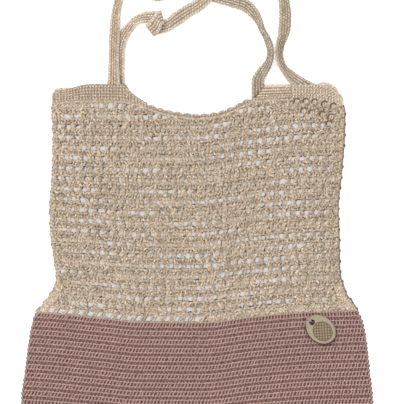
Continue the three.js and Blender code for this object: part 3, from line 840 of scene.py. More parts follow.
def band_surface(side, front_end, back_end, drops, front_drops, stitches, rows):
    """Middle of a shoulder band by stitch and row: along the front, half a turn round the side
    and along the back, and from the neck line up to the band's dropped top."""
    reach = left_reach if side < 0 else right_reach
    fold = side * (reach(NECK_Y[0 if side < 0 else -1]) - SIDE_ROLL)
    drop, front_drop = smooth_line(drops), smooth_line(front_drops)
    front = np.linspace(front_end, fold, 60)
    turn = np.linspace(0, np.pi, 9)[1:-1]
    back = np.linspace(fold, back_end, 60)
    middle = BAND_THICKNESS + CLEARANCE / 2
    radius = (BAND_THICKNESS + CLEARANCE) / 2
    x = np.concatenate([front, fold + side * radius * np.sin(turn), back])
    shown = np.concatenate([front, fold + side * SIDE_ROLL * np.sin(turn), back])
    front_z = front_underside(front, neck_top(front)) + BAND_THICKNESS / 2
    z = np.concatenate([front_z, middle + radius * np.cos(turn), np.full(60, BAND_THICKNESS / 2)])
    out = np.concatenate([0 * front, side * np.sin(turn), 0 * back])
    up = np.concatenate([0 * front + 1, np.cos(turn), 0 * back - 1])
    run = run_along(np.stack([x, z], -1))

    def surface(stitch, row):
        at = stitch / stitches * run[-1]
        here = np.interp(at, run, shown)
        facing = np.interp(at, run, up)
        top = BAND_TOP - mix(drop(here), front_drop(here), (facing + 1) / 2)
        y = mix(neck_top(here), top, row / rows)
        normal = unit(stack(np.interp(at, run, out), 0 * at, facing))
        sheared = MITRE * row / rows * eased(at, run[-1] - 2.5 * MITRE, run[-1])
        sheared = sheared if side > 0 else 0
        return stack(np.interp(at, run, x) + sheared, y, np.interp(at, run, z)), normal
    return surface, run[-1]


def mitre_patch(stitch, row):
    """Corner of the back right band, where the strap's rows run on down to a slanting crease."""
    share = 0.02 + 0.9 * row / MITRE_ROWS
    x = BACK_RIGHT_BAND_END - 0.6 + MITRE * share
    low, high = neck_top(x), BAND_TOP + 1.5
    y = mix(high, mix(low - 1.5, high, share), stitch / MITRE_STITCHES)
    return stack(x, y, BAND_THICKNESS / 2 + 0.9), stack(0 * x, 0 * x, 1)


def station(row):
    """Centre and half width of the strap at one row of its route."""
    across, up, layer, share_x, share_y, share_z = row
    half = STRAP_WIDTH / 2
    rise = STRAP_THICKNESS + STRAP_LAYER_GAP
    height = STRAP_THICKNESS / 2 + abs(share_z) * half + layer * rise
    return [across, BAND_TOP + up, height], [share_x * half, share_y * half, share_z * half]


def fold_stations(fold):
    """Half a turn of the strap about a lying axis, from its lower layer to its upper one."""
    turn = math.radians(fold["turn"])
    rise = STRAP_THICKNESS + STRAP_LAYER_GAP
    radius = (fold["high"] - fold["low"]) * rise / 2
    middle = STRAP_THICKNESS / 2 + fold["low"] * rise + radius
    sign = 1 if math.cos(turn) > 0 else -1
    half = STRAP_WIDTH / 2 * fold["share"] * sign
    side = [math.sin(turn) * half, -math.cos(turn) * half, 0]
    made = []
    for angle in np.linspace(-np.pi / 2, np.pi / 2, 5):
        out = radius * math.cos(angle)
        x = fold["across"] + out * math.cos(turn)
        y = BAND_TOP + fold["up"] + out * math.sin(turn)
        made.append(([x, y, middle + radius * math.sin(angle)], side))
    return made


def root_station(x, width, direction, height):
    """End of a strap on its band, along the slope of the band's surface."""
    left, right = float(height(x - width / 2)), float(height(x + width / 2))
    side = [direction * width / 2, 0, direction * (right - left) / 2]
    return [x, BAND_TOP + CLEARANCE, (left + right) / 2], side


def front_root_height(x):
    """Middle of the strap where it stands on the front of a band."""
    return front_underside(x, neck_top(x)) + BAND_THICKNESS - STRAP_THICKNESS / 2


def back_root_height(x):
    """Middle of the strap where it stands on the back of a band."""
    return STRAP_THICKNESS / 2 + 0 * x


def strap_surface(stations, rows, pitch):
    """Middle of a strap by stitch and row. Its centre and half width are cubics between the
    stations, whose slopes are the neighbouring ones weighted by distance, over the distance
    between stations; the normal is the half width crossed with the way ahead."""
    centre, side = (np.array(values, float) for values in zip(*stations))
    knots = run_along(centre)
    gaps = np.diff(knots)[:, None]
    s = np.linspace(0, knots[-1], 400)
    i = np.clip(np.searchsorted(knots, s) - 1, 0, len(gaps) - 1)
    t = ((s - knots[i]) / gaps[i, 0])[:, None]

    def between(values):
        steps = np.diff(values, axis=0) / gaps
        weight = gaps[1:] / (gaps[1:] + gaps[:-1])
        middle = steps[:-1] * weight + steps[1:] * (1 - weight)
        slopes = np.concatenate([steps[:1], middle, steps[-1:]])
        bend = slopes[i] * t * (1 - t) ** 2 - slopes[i + 1] * t * t * (1 - t)
        return mix(values[i], values[i + 1], t * t * (3 - 2 * t)) + gaps[i] * bend

    middle, half = between(centre), between(side)
    middle[:, 2] = np.maximum(middle[:, 2], STRAP_THICKNESS / 2 + np.abs(half[:, 2]))
    normal = unit(np.cross(half, np.gradient(middle, axis=0)))
    run = run_along(middle)
    stitches = round(run[-1] / pitch)

    def surface(stitch, row):
        at = stitch / stitches * run[-1]
        place, side, facing = (stack(*[np.interp(at, run, v) for v in values.T])
                               for values in (middle, half, normal))
        return place + STRAP_INSET * side * (2 * row / rows - 1)[..., None], unit(facing)
    return surface, stitches


def other_side(surface):
    """The same surface seen from its other face."""
    def turned(a, b):
        point, normal = surface(a, b)
        return point, -normal
    return turned


def tag_frame():
    """Place and turn of the tag: on the slope of the front base panel, turned in its plane."""
    height = [float(front_underside(TAG_ACROSS + d, TAG_UP)) + BASE_THICKNESS for d in (-1, 0, 1)]
    slope = math.atan((height[2] - height[0]) / 2)
    place = (TAG_ACROSS, TAG_UP, height[1] + CLEARANCE)
    turn = Matrix.Rotation(-slope, 4, "Y") @ Matrix.Rotation(math.radians(TAG_TURN), 4, "Z")
    return Matrix.Translation([c * MILLIMETRE for c in place]) @ turn


def even_edge(points, pitch):
    """Points spread evenly along a line, and the direction along it at each."""
    run = run_along(points)
    count = round(run[-1] / pitch)
    at = (np.arange(count) + 0.5) / count * run[-1]
    ways = unit(np.gradient(points, run, axis=0))
    edge, ahead = (stack(*[np.interp(at, run, v) for v in values.T]) for values in (points, ways))
    return edge, unit(ahead)


def wrap_loops(bundle, edge, ahead, way, thickness, draw, reach, radius, lean, shade, painted_dim):
    """Loops of yarn laid over an edge, square to it: most of an ellipse from the front face round
    the edge to the back face, each leaning a little along the edge. Their outer side is painted
    darker as shade, by a mix towards the deep colour and by a lower brightness."""
    angle = np.linspace(LOOP_TURN, -LOOP_TURN, 8) * np.pi
    middle = thickness / 2
    outward = way * np.stack([ahead[:, 1], -ahead[:, 0]], -1)
    reach = reach + 0.25 * draw.standard_normal((len(edge), 1))
    out = 0.45 + (reach - radius) * np.cos(angle)
    z = middle + (middle - radius) * np.sin(angle) + 0 * out
    slant = lean * np.sin(angle)
    x = edge[:, :1] + outward[:, :1] * out + ahead[:, :1] * slant
    y = edge[:, 1:] + outward[:, 1:] * out + ahead[:, 1:] * slant
    facing = stack(outward[:, :1] * np.cos(angle), outward[:, 1:] * np.cos(angle), np.sin(angle))
    outer = eased(np.cos(angle), 0.1, 0.8)
    tone = 0.6 * draw.standard_normal((len(edge), 1)) - painted_dim * outer
    bundle.strands(stack(x, y, z), radius, facing, 6, tone, 0.1 + shade * outer)


def edge_core(bundle, edge, ahead, way, thickness, out=0.5, radius=1.5, tone=0.0):
    """Rod of yarn that fills a seam under its loops, nearly as high as the seam is thick, painted
    largely in shade where it shows between them.
    """
    outward = out * way * np.stack([ahead[:, 1], -ahead[:, 0]], -1)
    path = stack(edge[:, 0] + outward[:, 0], edge[:, 1] + outward[:, 1], thickness / 2)
    bundle.strands(path[None], radius, UP, 8, tone, 0.7, flat=(thickness / 2 - 0.7) / 1.5)


# The openwork


def layer_rail(row, x, front):
    """Height of a rail. On the back layer it also stands off by the mean of how far the rows over
    and under it are out of step."""
    y = rail_height(row, x)
    if front or row in (0, len(LINED_UP)):
        return y
    return y + BACK_RAIL_SHIFT * (out_of_step(row - 1, x) + out_of_step(row, x))


def ends_inside(y, higher):
    """Places at either side edge that are inside it both at a height and somewhat higher."""
    start = np.maximum(place_across(0, y), place_across(0, y + higher))
    return start, np.minimum(place_across(1, y), place_across(1, y + higher))


def rail_run(row, front, steps, cells):
    """Points along a rail: cell number, distance across and height, by repeated substitution."""
    cell = np.linspace(0, cells, cells * steps + 1)
    x = place_across(cell / cells, np.full_like(cell, TOP_RAIL - RAIL_PITCH * row))
    for _ in range(4):
        y = layer_rail(row, x, front)
        x = mix(*ends_inside(y, RAIL_INSET), cell / cells)
    return cell, x, y


def unbroken(mask, least):
    """Slices of the unbroken runs of a mask."""
    edges = np.flatnonzero(np.diff(np.concatenate([[0], mask.astype(int), [0]])))
    return [slice(a, b) for a, b in zip(edges[::2], edges[1::2]) if b - a >= least]


def short_stitches(bundle, front, run, reach, flip, radius, draw):
    """Two tiers of short stitches along a run of cells, places across and heights, as far as the
    reach to either side of it. They mostly lean one way in the one tier and the other way in the
    other, and arch by a sine."""
    cell, x, y = run
    for tier in (-0.5, 0.5):
        foot = np.arange(cell[0] + 0.2 + 0.1 * tier, cell[-1] - 0.1, 1 / RAIL_STITCHES)[:, None]
        foot = foot + 0.06 * draw.standard_normal(foot.shape)
        way = np.where(draw.random(foot.shape) < 0.8, 1, -1) * (1 if (tier > 0) == flip else -1)
        t = np.linspace(0, 1, 4)
        at = foot + RAIL_LEAN * (1 + 0.4 * draw.standard_normal(foot.shape)) * way * (t - 0.5)
        up = reach * (tier + 1.25 * (t - 0.5)) + 0.35 * draw.standard_normal(foot.shape)
        rise = 0.4 + 0.7 * np.sin(np.pi * t) + 0.35 * draw.standard_normal(foot.shape)
        points = mesh_point(front, np.interp(at, cell, x), np.interp(at, cell, y) + up, rise)
        size = radius * (1 + 0.12 * draw.standard_normal(foot.shape))
        tone = 2.0 * draw.standard_normal(len(foot))
        # Painted shade at the feet of each stitch, where it dips, none at the top of its arch
        bundle.strands(points, size, UP, 4, tone, 1 - np.sin(np.pi * t))


def openwork_rails(bundle, front, cells, steps, sizes, draw):
    """Rails of the openwork. A flat core runs along each rail, painted in full shade, two cords
    wave along it, a sine across and a cosine in height, with a painted highlight on their crests,
    and short stitches cover it. On the back layer a soft core of each rail also fills the space up
    to the front one, lifted in brightness as painted light and partly painted in shade. A thicker
    strand closes the top edge."""
    for row in range(len(LINED_UP) + 1):
        reach = sizes["rail_reach"] * (LAST_RAIL_SHARE if row == len(LINED_UP) else 1)
        cell, x, y = rail_run(row, front, steps, cells)
        for part in unbroken(y < neck_top(x) - TOP_STRAND_DROP, 2 * steps):
            some = slice(part.start, part.stop, 3)
            # Flat core painted in full shade, where it shows between the stitches
            points = mesh_point(front, x[some], y[some], -0.5)
            bundle.strands(points[None], reach, UP, 6, -0.5, 1.0, flat=0.4)
            if not front:
                # Soft core lifted in brightness as painted light against the shade between the
                # layers, and partly painted in shade
                z = front_underside(x[some], y[some]) + 0.3 * np.cos(2 * x[some])
                points = stack(x[some], y[some], z)
                bundle.strands(points[None], reach + 0.4, UP, 6, 0.8, 0.4, flat=0.45,
                               warm=0.3)
            run = (cell[part], x[part], y[part])
            for side, height in ((1, 0.8), (-1, 0.5)):
                turns = run[0] * RAIL_STITCHES + 0.3 * np.sin(2.3 * run[0]) + draw.random()
                wave = 2 * np.pi * turns
                up = side * reach + 0.75 * np.sin(wave) + 0.35 * np.sin(1.9 * run[0] + row)
                points = mesh_point(front, run[1], run[2] + up, height + 0.6 * np.cos(wave))
                radius = sizes["cord_radius"] * (1 + 0.15 * draw.standard_normal(len(wave)))
                # Painted highlight on the crests of the cords, where they rise
                light = 0.4 + 1.8 * np.cos(wave) + 0.8 * draw.standard_normal(len(wave))
                bundle.strands(points[None], radius[None], UP, 4, light[None], 0.2)
            short_stitches(bundle, front, run, reach, row % 2 > 0, sizes["stitch_radius"], draw)
    x = np.linspace(NECK_X[0] + 1, NECK_X[-1] - 1, 200)
    y = neck_top(x) - TOP_STRAND_DROP + 0.5 * np.sin(x * 1.1)
    points = mesh_point(front, x, y, 0.2 * np.cos(x * 1.7))
    bundle.strands(points[None], TOP_STRAND_RADIUS, UP, 6, 0.0, 0.35)


def out_of_step(row, x):
    """Shift of the back layer's posts against the front one's, in cells: none at the places where
    holes line up, growing evenly to the most at the distance given with each place."""
    places = np.array(LINED_UP[row], float)
    away = (x[..., None] - places[:, 0]) / places[:, 1]
    nearest = np.take_along_axis(away, np.abs(away).argmin(-1)[..., None], -1)[..., 0]
    return -MOST_OUT_OF_STEP * np.clip(nearest, -1, 1)


def post_places(row, front, cells):
    """Distances across of a row's posts: one at each whole cell, which on the back layer is
    counted with the shift; and one at either side edge."""
    u = np.linspace(0, 1, 4001)
    x = place_across(u, TOP_RAIL - RAIL_PITCH * (row + 0.5))
    for _ in range(4):
        y = (rail_height(row, x) + rail_height(row + 1, x)) / 2
        x = mix(*ends_inside(y, 2 * RAIL_INSET), u)
    count = u * cells + (0 if front else out_of_step(row, x))
    feet = x[1:][np.diff(count % 1) < -0.5]
    near = 0.5 * (x[-1] - x[0]) / cells
    feet = feet[(feet > x[0] + near) & (feet < x[-1] - near)]
    return np.concatenate([[x[0] + 1.2], feet, [x[-1] - 1.2]])[:, None]


def openwork_posts(bundle, front, cells, sizes, draw):
    """Posts between the rails: three strands wound about each other, a cosine across and a sine
    in height, a third of a turn apart, painted in shade on their low sides, and another strand
    slung across them, painted lighter on top. On the back layer a soft lump of each post also
    fills the space up to the front one, lifted in brightness as painted light and partly painted
    in shade."""
    reach = sizes["rail_reach"]
    for row in range(len(LINED_UP)):
        x = post_places(row, front, cells)
        x = x + POST_CHANCE * draw.standard_normal(x.shape)
        low = layer_rail(row + 1, x, front) + reach
        high = np.minimum(layer_rail(row, x, front) - reach, neck_top(x) - 0.5)
        keep = (high - low)[:, 0] > 2
        x, low, high = x[keep], low[keep], high[keep]
        if not len(x):
            continue
        lean = POST_LEAN + POST_LEAN_MORE * eased(x, 0, 60) + 0.7 * draw.standard_normal(x.shape)
        t = np.linspace(-0.15, 1.15, 6)
        tone = 0.7 * draw.standard_normal(len(x))
        start = 0.8 * draw.standard_normal(x.shape)
        swing = sizes["post_reach"] * (1 + 0.12 * draw.standard_normal(x.shape))
        swing = swing * (1 if front else BACK_POST_SHARE)
        if front and row < GATHERED_ROWS:
            swing = swing * (1 - 0.5 * eased(x, 85, 115))
        for strand in range(3):
            angle = 2 * np.pi * (strand / 3 + POST_TURNS * t) + start
            across = x + lean * (t - 0.5) + swing * np.cos(angle)
            rise = 0.5 * np.sin(angle) + 0.1
            points = mesh_point(front, across, mix(low, high, t), rise)
            # Painted shade on the low side of each wound strand
            bundle.strands(points, sizes["post_radius"], UP, 5, tone + 1.2 * (strand - 1),
                           0.5 - 0.5 * np.sin(angle), warm=0.3)
        t = np.linspace(0, 1, 4)
        sling = x + SLING_LENGTH * (t - 0.5) * (-1 if row % 2 else 1)
        rise = 0.5 + 0.9 * np.sin(np.pi * t) + 0 * x
        points = mesh_point(front, sling, mix(low, high, 0.25 + 0.5 * t), rise)
        # The slung strand lies on top and is painted lighter, as a highlight
        bundle.strands(points, SLING_RADIUS, UP, 4, 0.6 + tone, 0.0)
        if not front:
            # Lump lifted in brightness as painted light against the shade between the layers, and
            # partly painted in shade
            t = np.linspace(-0.2, 1.2, 4)
            y = mix(low, high, t)
            z = front_underside(x, y) + 0.5 * np.cos(7 * t + start)
            points = stack(x + 0.7 * np.sin(2 * np.pi * t + start), y, z)
            bundle.strands(points, LUMP_RADIUS, UP, 6, 1.0 + tone, 0.35, flat=0.55, warm=0.3)


def gathered_loops(bundle, draw):
    """Loops bunched up under the right band: plump balls side by side, thickest in the middle by
    a root of one less the height squared, each between two bowed strands whose dipping ends are
    painted in shade, and under a dark strand painted as the shadow in the recess, an arc over its
    left shoulder."""
    for down, start, end in GATHERED_LOOPS:
        x = np.arange(start, end, GATHERED_PITCH)[:, None]
        x = x + 0.8 * draw.standard_normal(x.shape)
        y = neck_top(x) - down + 0.6 * draw.standard_normal(x.shape)
        t = np.linspace(-1, 1, 7)
        tone = 0.5 + 0.8 * draw.standard_normal(len(x))
        ball = mesh_point(True, x + 0 * t, y + BALL_LENGTH * t, 0.6 + 0 * x * t)
        radius = BALL_RADIUS * np.sqrt(1 - 0.85 * t ** 2)
        bundle.strands(ball, radius, UP, 8, tone, 0.3, flat=0.6)
        bow = np.cos(np.pi * t / 2)
        for way in (-1, 1):
            across = x + way * (0.4 + 0.9 * bow)
            plump = mesh_point(True, across, y + 2.4 * t, 1.7 + 0.8 * bow + 0 * x)
            # Ends of the bowed strands painted in shade where they dip
            bundle.strands(plump, 0.9, UP, 6, tone + 0.8 * way, 0.8 * t ** 2)
        angle = np.linspace(0.25, 1.1, 8) * np.pi
        across, up = x + HOLLOW_WIDE * np.cos(angle), y + HOLLOW_HIGH * np.sin(angle)
        hollow_shadow = mesh_point(True, across, up, 2.0 + 0 * across)
        # Dark strand painted as the shadow in the recess over each ball
        bundle.strands(hollow_shadow, HOLLOW_RADIUS, UP, 5, -4.5 - 3 * draw.random(len(x)), 1.0)


def corner_strands(bundle, front, draw):
    """Strands beside the sloping side seams at the foot of the openwork, side by side, each
    swinging a little across by a sine and in height by a cosine."""
    for side, way in ((0.0, 1), (1.0, -1)):
        low = height_on(joining_height, np.array([side]))[0] + 0.6
        y = np.linspace(low, CORNER_TOP, 30)
        for number in range(4):
            inside = CORNER_START + CORNER_STEP * number + 0.5 * np.sin(0.9 * y + number)
            x = place_across(side, y) + way * inside
            tone = 0.4 + 1.2 * np.cos(1.1 * y + number) + 0.5 * draw.standard_normal(len(y))
            points = mesh_point(front, x, y, 0.1 + 0.3 * np.cos(0.9 * y + number))
            bundle.strands(points[None], CORNER_RADIUS, UP, 5, tone[None], 0.3)


def joining_row(bundle, front, cells, sizes, draw):
    """Row that joins the openwork to the base: pairs of strands that lean to the right as they
    rise from the joining line to the lowest rail, closer together on the right, where short
    stitches lie over them, and a strand along the joining line."""
    foot = np.arange(JOINING_START, right_reach(74.0) - 9, JOINING_PITCH / 2)
    foot = foot[((np.arange(len(foot)) % 2 == 0) | (foot > 10)) & (foot < JOINING_END)][:, None]
    foot = foot + 0.35 * draw.standard_normal(foot.shape)
    t = np.linspace(0, 1, 6)
    low = joining_height(foot) + 0.4
    high = rail_height(len(LINED_UP), foot + JOINING_LEAN) - LAST_RAIL_SHARE * sizes["rail_reach"]
    for strand in range(2):
        spread = JOINING_SPREAD * (strand - 0.5) * np.sin(np.pi * (0.2 + 0.7 * t))
        across = foot + JOINING_LEAN * t + spread
        rise = 0.35 * np.cos(np.pi * (t + strand)) + 0.3
        points = mesh_point(front, across, mix(low, high, t), rise + 0 * across)
        tone = 1.4 * draw.standard_normal((len(foot), 1)) + 1.2 * np.cos(9 * t + foot + strand)
        depth = 0.3 + 0.3 * np.cos(9 * t + foot + strand)
        bundle.strands(points, JOINING_RADIUS, UP, 5, tone, depth)
    x = np.linspace(10, JOINING_END + 5, 180)
    low, high = joining_height(x), rail_height(len(LINED_UP), x)
    run = (np.linspace(0, 15, 180), x, (low + high) / 2)
    for flip in (False, True):
        short_stitches(bundle, front, run, JOINING_COVER, flip, sizes["stitch_radius"], draw)
    cell = np.linspace(0, cells, cells * 6 + 1)
    y = height_on(lambda x: joining_height(x) + 0.7, cell / cells)
    x = place_across(cell / cells, y)
    wave = 6 * np.pi * cell
    points = mesh_point(front, x, y + 0.2 * np.sin(wave), 0.2 * np.cos(wave))
    bundle.strands(points[None], 0.7, UP, 5, 0.0, 0.3)


# Settings


class BagColours(bpy.types.PropertyGroup):
    """Colours of the yarns and of the tag, the colours and the strength of the painted shade deep
    in the yarns, and how strongly they are grained.
    """

    pink: bpy.props.FloatVectorProperty(
        name="Base yarn", description="Dusty pink yarn of the base", subtype="COLOR", size=4,
        min=0, max=1, default=(*from_screen(195, 163, 154), 1))
    pink_warm: bpy.props.FloatVectorProperty(
        name="Base yarn, deeper", description="Deeper patches of the pink yarn", subtype="COLOR",
        size=4, min=0, max=1, default=(*from_screen(178, 142, 135), 1))
    # Colour that the painted shade deep in the pink fabric goes towards
    pink_shade: bpy.props.FloatVectorProperty(
        name="Base yarn, depths", description="The pink yarn deep in the fabric", subtype="COLOR",
        size=4, min=0, max=1, default=(*from_screen(104, 62, 58), 1))
    cream: bpy.props.FloatVectorProperty(
        name="Openwork yarn", description="Cream yarn of the openwork", subtype="COLOR", size=4,
        min=0, max=1, default=(*from_screen(221, 206, 186), 1))
    cream_warm: bpy.props.FloatVectorProperty(
        name="Openwork yarn, warmer", description="Warmer patches of the cream yarn",
        subtype="COLOR", size=4, min=0, max=1, default=(*from_screen(212, 188, 160), 1))
    # Colour that the painted shade deep in the cream fabrics goes towards
    cream_shade: bpy.props.FloatVectorProperty(
        name="Cream yarn, depths", description="The cream yarns deep in the fabric",
        subtype="COLOR", size=4, min=0, max=1, default=(*from_screen(128, 99, 73), 1))
    strap: bpy.props.FloatVectorProperty(
        name="Strap yarn", description="Cream yarn of the bands and straps", subtype="COLOR",
        size=4, min=0, max=1, default=(*from_screen(226, 214, 197), 1))
    wood: bpy.props.FloatVectorProperty(
        name="Tag wood", description="Pale wood of the tag", subtype="COLOR", size=4, min=0,
        max=1, default=(*from_screen(182, 168, 144), 1))
    wood_grain: bpy.props.FloatVectorProperty(
        name="Wood grain", description="Darker streaks of the wood", subtype="COLOR", size=4,
        min=0, max=1, default=(*from_screen(162, 146, 121), 1))
    burnt: bpy.props.FloatVectorProperty(
        name="Burnt lines", description="Burnt lattice of the tag", subtype="COLOR", size=4,
        min=0, max=1, default=(*from_screen(116, 94, 68), 1))
    # Colour of the cut edge, also used for the painted shade on one side of the tag's rim
    cut_edge: bpy.props.FloatVectorProperty(
        name="Cut edge", description="Cut edge of the tag", subtype="COLOR", size=4, min=0, max=1,
        default=(*from_screen(52, 38, 30), 1))
    pink_grain: bpy.props.FloatProperty(
        name="Base grain", description="Strength of the grain of the pink yarn", min=0,
        default=0.5)
    cream_grain: bpy.props.FloatProperty(
        name="Openwork grain", description="Strength of the grain of the openwork", min=0,
        default=1.45)
    strap_grain: bpy.props.FloatProperty(
        name="Strap grain", description="Strength of the grain of the bands and straps", min=0,
        default=0.95)
    # Painted shade: the share of each yarn's light that is kept where it lies deepest
    crevice: bpy.props.FloatProperty(
        name="Depth shade", description="Share of a yarn's light that is left deep in the fabric",
        subtype="FACTOR", min=0, max=1, default=0.19)
    crevice_cream: bpy.props.FloatProperty(
        name="Openwork depth shade", description="The same for the openwork", subtype="FACTOR",
        min=0, max=1, default=0.3)
    band_crevice: bpy.props.FloatProperty(
        name="Band depth shade", description="The same for the close bands and straps",
        subtype="FACTOR", min=0, max=1, default=0.35)


class StitchSizes(bpy.types.PropertyGroup):
    """Numbers of stitches and thicknesses of the strands."""

    base_stitches: bpy.props.IntProperty(
        name="Base stitches", description="Stitches across a base panel", min=20, default=102)
    base_rows: bpy.props.IntProperty(
        name="Base rows", description="Rows up a base panel", min=4, default=29)
    front_cells: bpy.props.IntProperty(
        name="Front cells", description="Holes across the front openwork", min=8, default=33)
    back_cells: bpy.props.IntProperty(
        name="Back cells", description="Holes across the back openwork", min=8, default=30)
    base_bar: bpy.props.FloatProperty(
        name="Base stitch radius", description="Half thickness of a stitch of the base",
        unit="LENGTH", min=0.0003, default=0.00092)
    base_ridge: bpy.props.FloatProperty(
        name="Base ridge radius", description="Half thickness of a ridge between base rows",
        unit="LENGTH", min=0.0003, default=0.00104)
    stitch_radius: bpy.props.FloatProperty(
        name="Rail stitch radius", description="Half thickness of a short stitch of the rails",
        unit="LENGTH", min=0.0003, default=0.001)
    rail_reach: bpy.props.FloatProperty(
        name="Rail reach", description="Distance from the middle of a rail to its cords",
        unit="LENGTH", min=0.0003, default=0.0025)
    cord_radius: bpy.props.FloatProperty(
        name="Cord radius", description="Half thickness of the cord along the rails",
        unit="LENGTH", min=0.0003, default=0.00074)
    post_radius: bpy.props.FloatProperty(
        name="Post strand radius", description="Half thickness of a strand of the posts",
        unit="LENGTH", min=0.0003, default=0.00098)
    post_reach: bpy.props.FloatProperty(
        name="Post reach", description="Swing of the strands of a post to either side",
        unit="LENGTH", min=0.0003, default=0.0017)
    band_pitch: bpy.props.FloatProperty(
        name="Band stitch", description="Length of a stitch of the bands and straps",
        unit="LENGTH", min=0.001, default=0.00337)
    band_rows: bpy.props.IntProperty(
        name="Band rows", description="Rows up a shoulder band", min=2, default=5)
    strap_rows: bpy.props.IntProperty(
        name="Strap rows", description="Rows across a strap", min=2, default=4)


class StageSettings(bpy.types.PropertyGroup):
    """Camera, lights and floor."""

    distance: bpy.props.FloatProperty(
        name="Camera height", description="Height of the camera over the bag", unit="LENGTH",
        min=0.1, default=2.478)
    lens: bpy.props.FloatProperty(
        name="Lens", description="Focal length in millimetres", min=10, default=200)
    sun: bpy.props.FloatProperty(
        name="Lamp", description="Strength of the soft lamp", min=0, default=1.25)
    sky: bpy.props.FloatProperty(
        name="Room light", description="Strength of the light from all round", min=0, default=0.77)
    glow: bpy.props.FloatProperty(
        name="Floor lift", description="Light that the floor adds of its own where it is seen",
        min=0, max=1, default=0.63)


class BagSettings(bpy.types.PropertyGroup):
    """All settings of the bag."""

    colours: bpy.props.PointerProperty(type=BagColours)
    stitches: bpy.props.PointerProperty(type=StitchSizes)
    stage: bpy.props.PointerProperty(type=StageSettings)


def millimetres(length):
    """Length of a setting in millimetres."""
    return length / MILLIMETRE


def material(name, make, *values):
    """Material of that name, made once."""
    return bpy.data.materials.get(name) or make(name, *values)


def pink_yarn(settings):
    """Yarn of the base."""
    c = settings.colours
    return material("pink_cotton", yarn, c.pink, c.pink_warm, c.pink_shade, c.crevice, c.pink_grain)


def cream_yarn(settings):
    """Yarn of the openwork."""
    c = settings.colours
    return material("cream_cotton", yarn, c.cream, c.cream_warm, c.cream_shade, c.crevice_cream,
                    c.cream_grain)


def strap_yarn(settings):
    """Yarn of the bands and straps."""
    c = settings.colours
    return material("strap_cotton", yarn, c.strap, c.cream_warm, c.cream_shade, c.band_crevice,
                    c.strap_grain)


def crochet_strip(bundle, surface, stitches, rows, draw, tone, sunk_shade):
    """Close crochet on one face of a band: low ridges along it, painted in shade by a given share,
    and plump stitches between them, painted in full shade at their feet, that stand in columns
    and lean more in one row than in the next."""
    ridge_rows(bundle, surface, range(rows + 1), stitches, draw, radius=0.75, height=0.2,
               wave=0.1, edge=1.45, tone=tone, depth=sunk_shade)
    for start, lean in enumerate((0.3, 0.12)):
        bar_rows(bundle, surface, range(start, rows, 2), stitches, draw, radius=0.93, height=0.5,
                 arch=0.55, lean=lean, depth=(1.0, 0.0), jitter=0.06, reach=0.84, stagger=0.08,
                 tone=tone)


def rope_strip(bundle, surface, stitches, rows, draw, tones, warm=0.0, shade=None):
    """Close crochet whose rows run lengthwise, between a beaded ridge along either edge. The
    brightness is given at its start, at its middle and at its end, and on a strap it paints
    light and shade along it. The first edge is painted darker as shade between the shares of its
    length that the shade gives."""
    rope = np.interp(np.linspace(0, 1, round(stitches * ROPE_FINENESS) + 1), (0, 0.5, 1), tones)
    share = np.linspace(0, 1, stitches * RIDGE_FINENESS + 1)
    edge = np.interp(share, (0, 0.5, 1), tones)
    first = edge
    if shade:
        first = edge - EDGE_SHADE * eased(share, *shade[:2]) * (1 - eased(share, *shade[2:]))
    for row, tone in ((0, first), (rows, edge)):
        ridge_rows(bundle, surface, [row], stitches, draw, radius=EDGE_RIDGE_RADIUS, height=0.2,
                   wave=0.1, tone=tone, warm=warm)
    rope_rows(bundle, surface, rows, stitches, draw, height=0.6, tone=rope, warm=warm)


# One operator for each group of pieces


class BAG_OT_base_panels(bpy.types.Operator):
    """Crochet the dense pink base, front and back"""

    bl_idname = "bag.base_panels"
    bl_label = "Base panels"
    bl_options = {"REGISTER", "UNDO"}

    def execute(self, context):
        settings = context.scene.produce_bag
        size = settings.stitches
        stitches, rows = size.base_stitches, size.base_rows
        bar = millimetres(size.base_bar)
        for number, side in enumerate(("front", "back")):
            draw = np.random.default_rng(BASE_SEED + number)
            surface = base_surface(side == "front", stitches, rows)
            bundle = Bundle()
            bar_rows(bundle, surface, range(0, rows, 2), stitches, draw, radius=bar, height=0.0,
                     arch=0.6, lean=0.45, depth=(0.5, 0.0), jitter=0.1)
            # Lower rows, set down between the ridges and painted mostly in shade
            bar_rows(bundle, surface, range(1, rows, 2), stitches, draw, radius=bar * 1.1,
                     height=-0.7, arch=0.6, lean=-0.4, depth=(0.95, 0.5), jitter=0.2, rings=3,
                     reach=0.7)
            ridge_rows(bundle, surface, range(rows + 1), stitches, draw,
                       radius=millimetres(size.base_ridge), height=0.6, wave=0.12, bead=0.35,
                       tone=0.8)
            # Slab under the stitches, painted in full shade where it shows between them
            bundle.core(surface, np.linspace(0, stitches, 61), np.linspace(0, rows, 25),
                        low=-1.4, high=-0.1)
            settle(bundle, side + "_base_stitches", pink_yarn(settings), "bag", "pink_yarn",
                   side + "_base_panel")
        return {"FINISHED"}


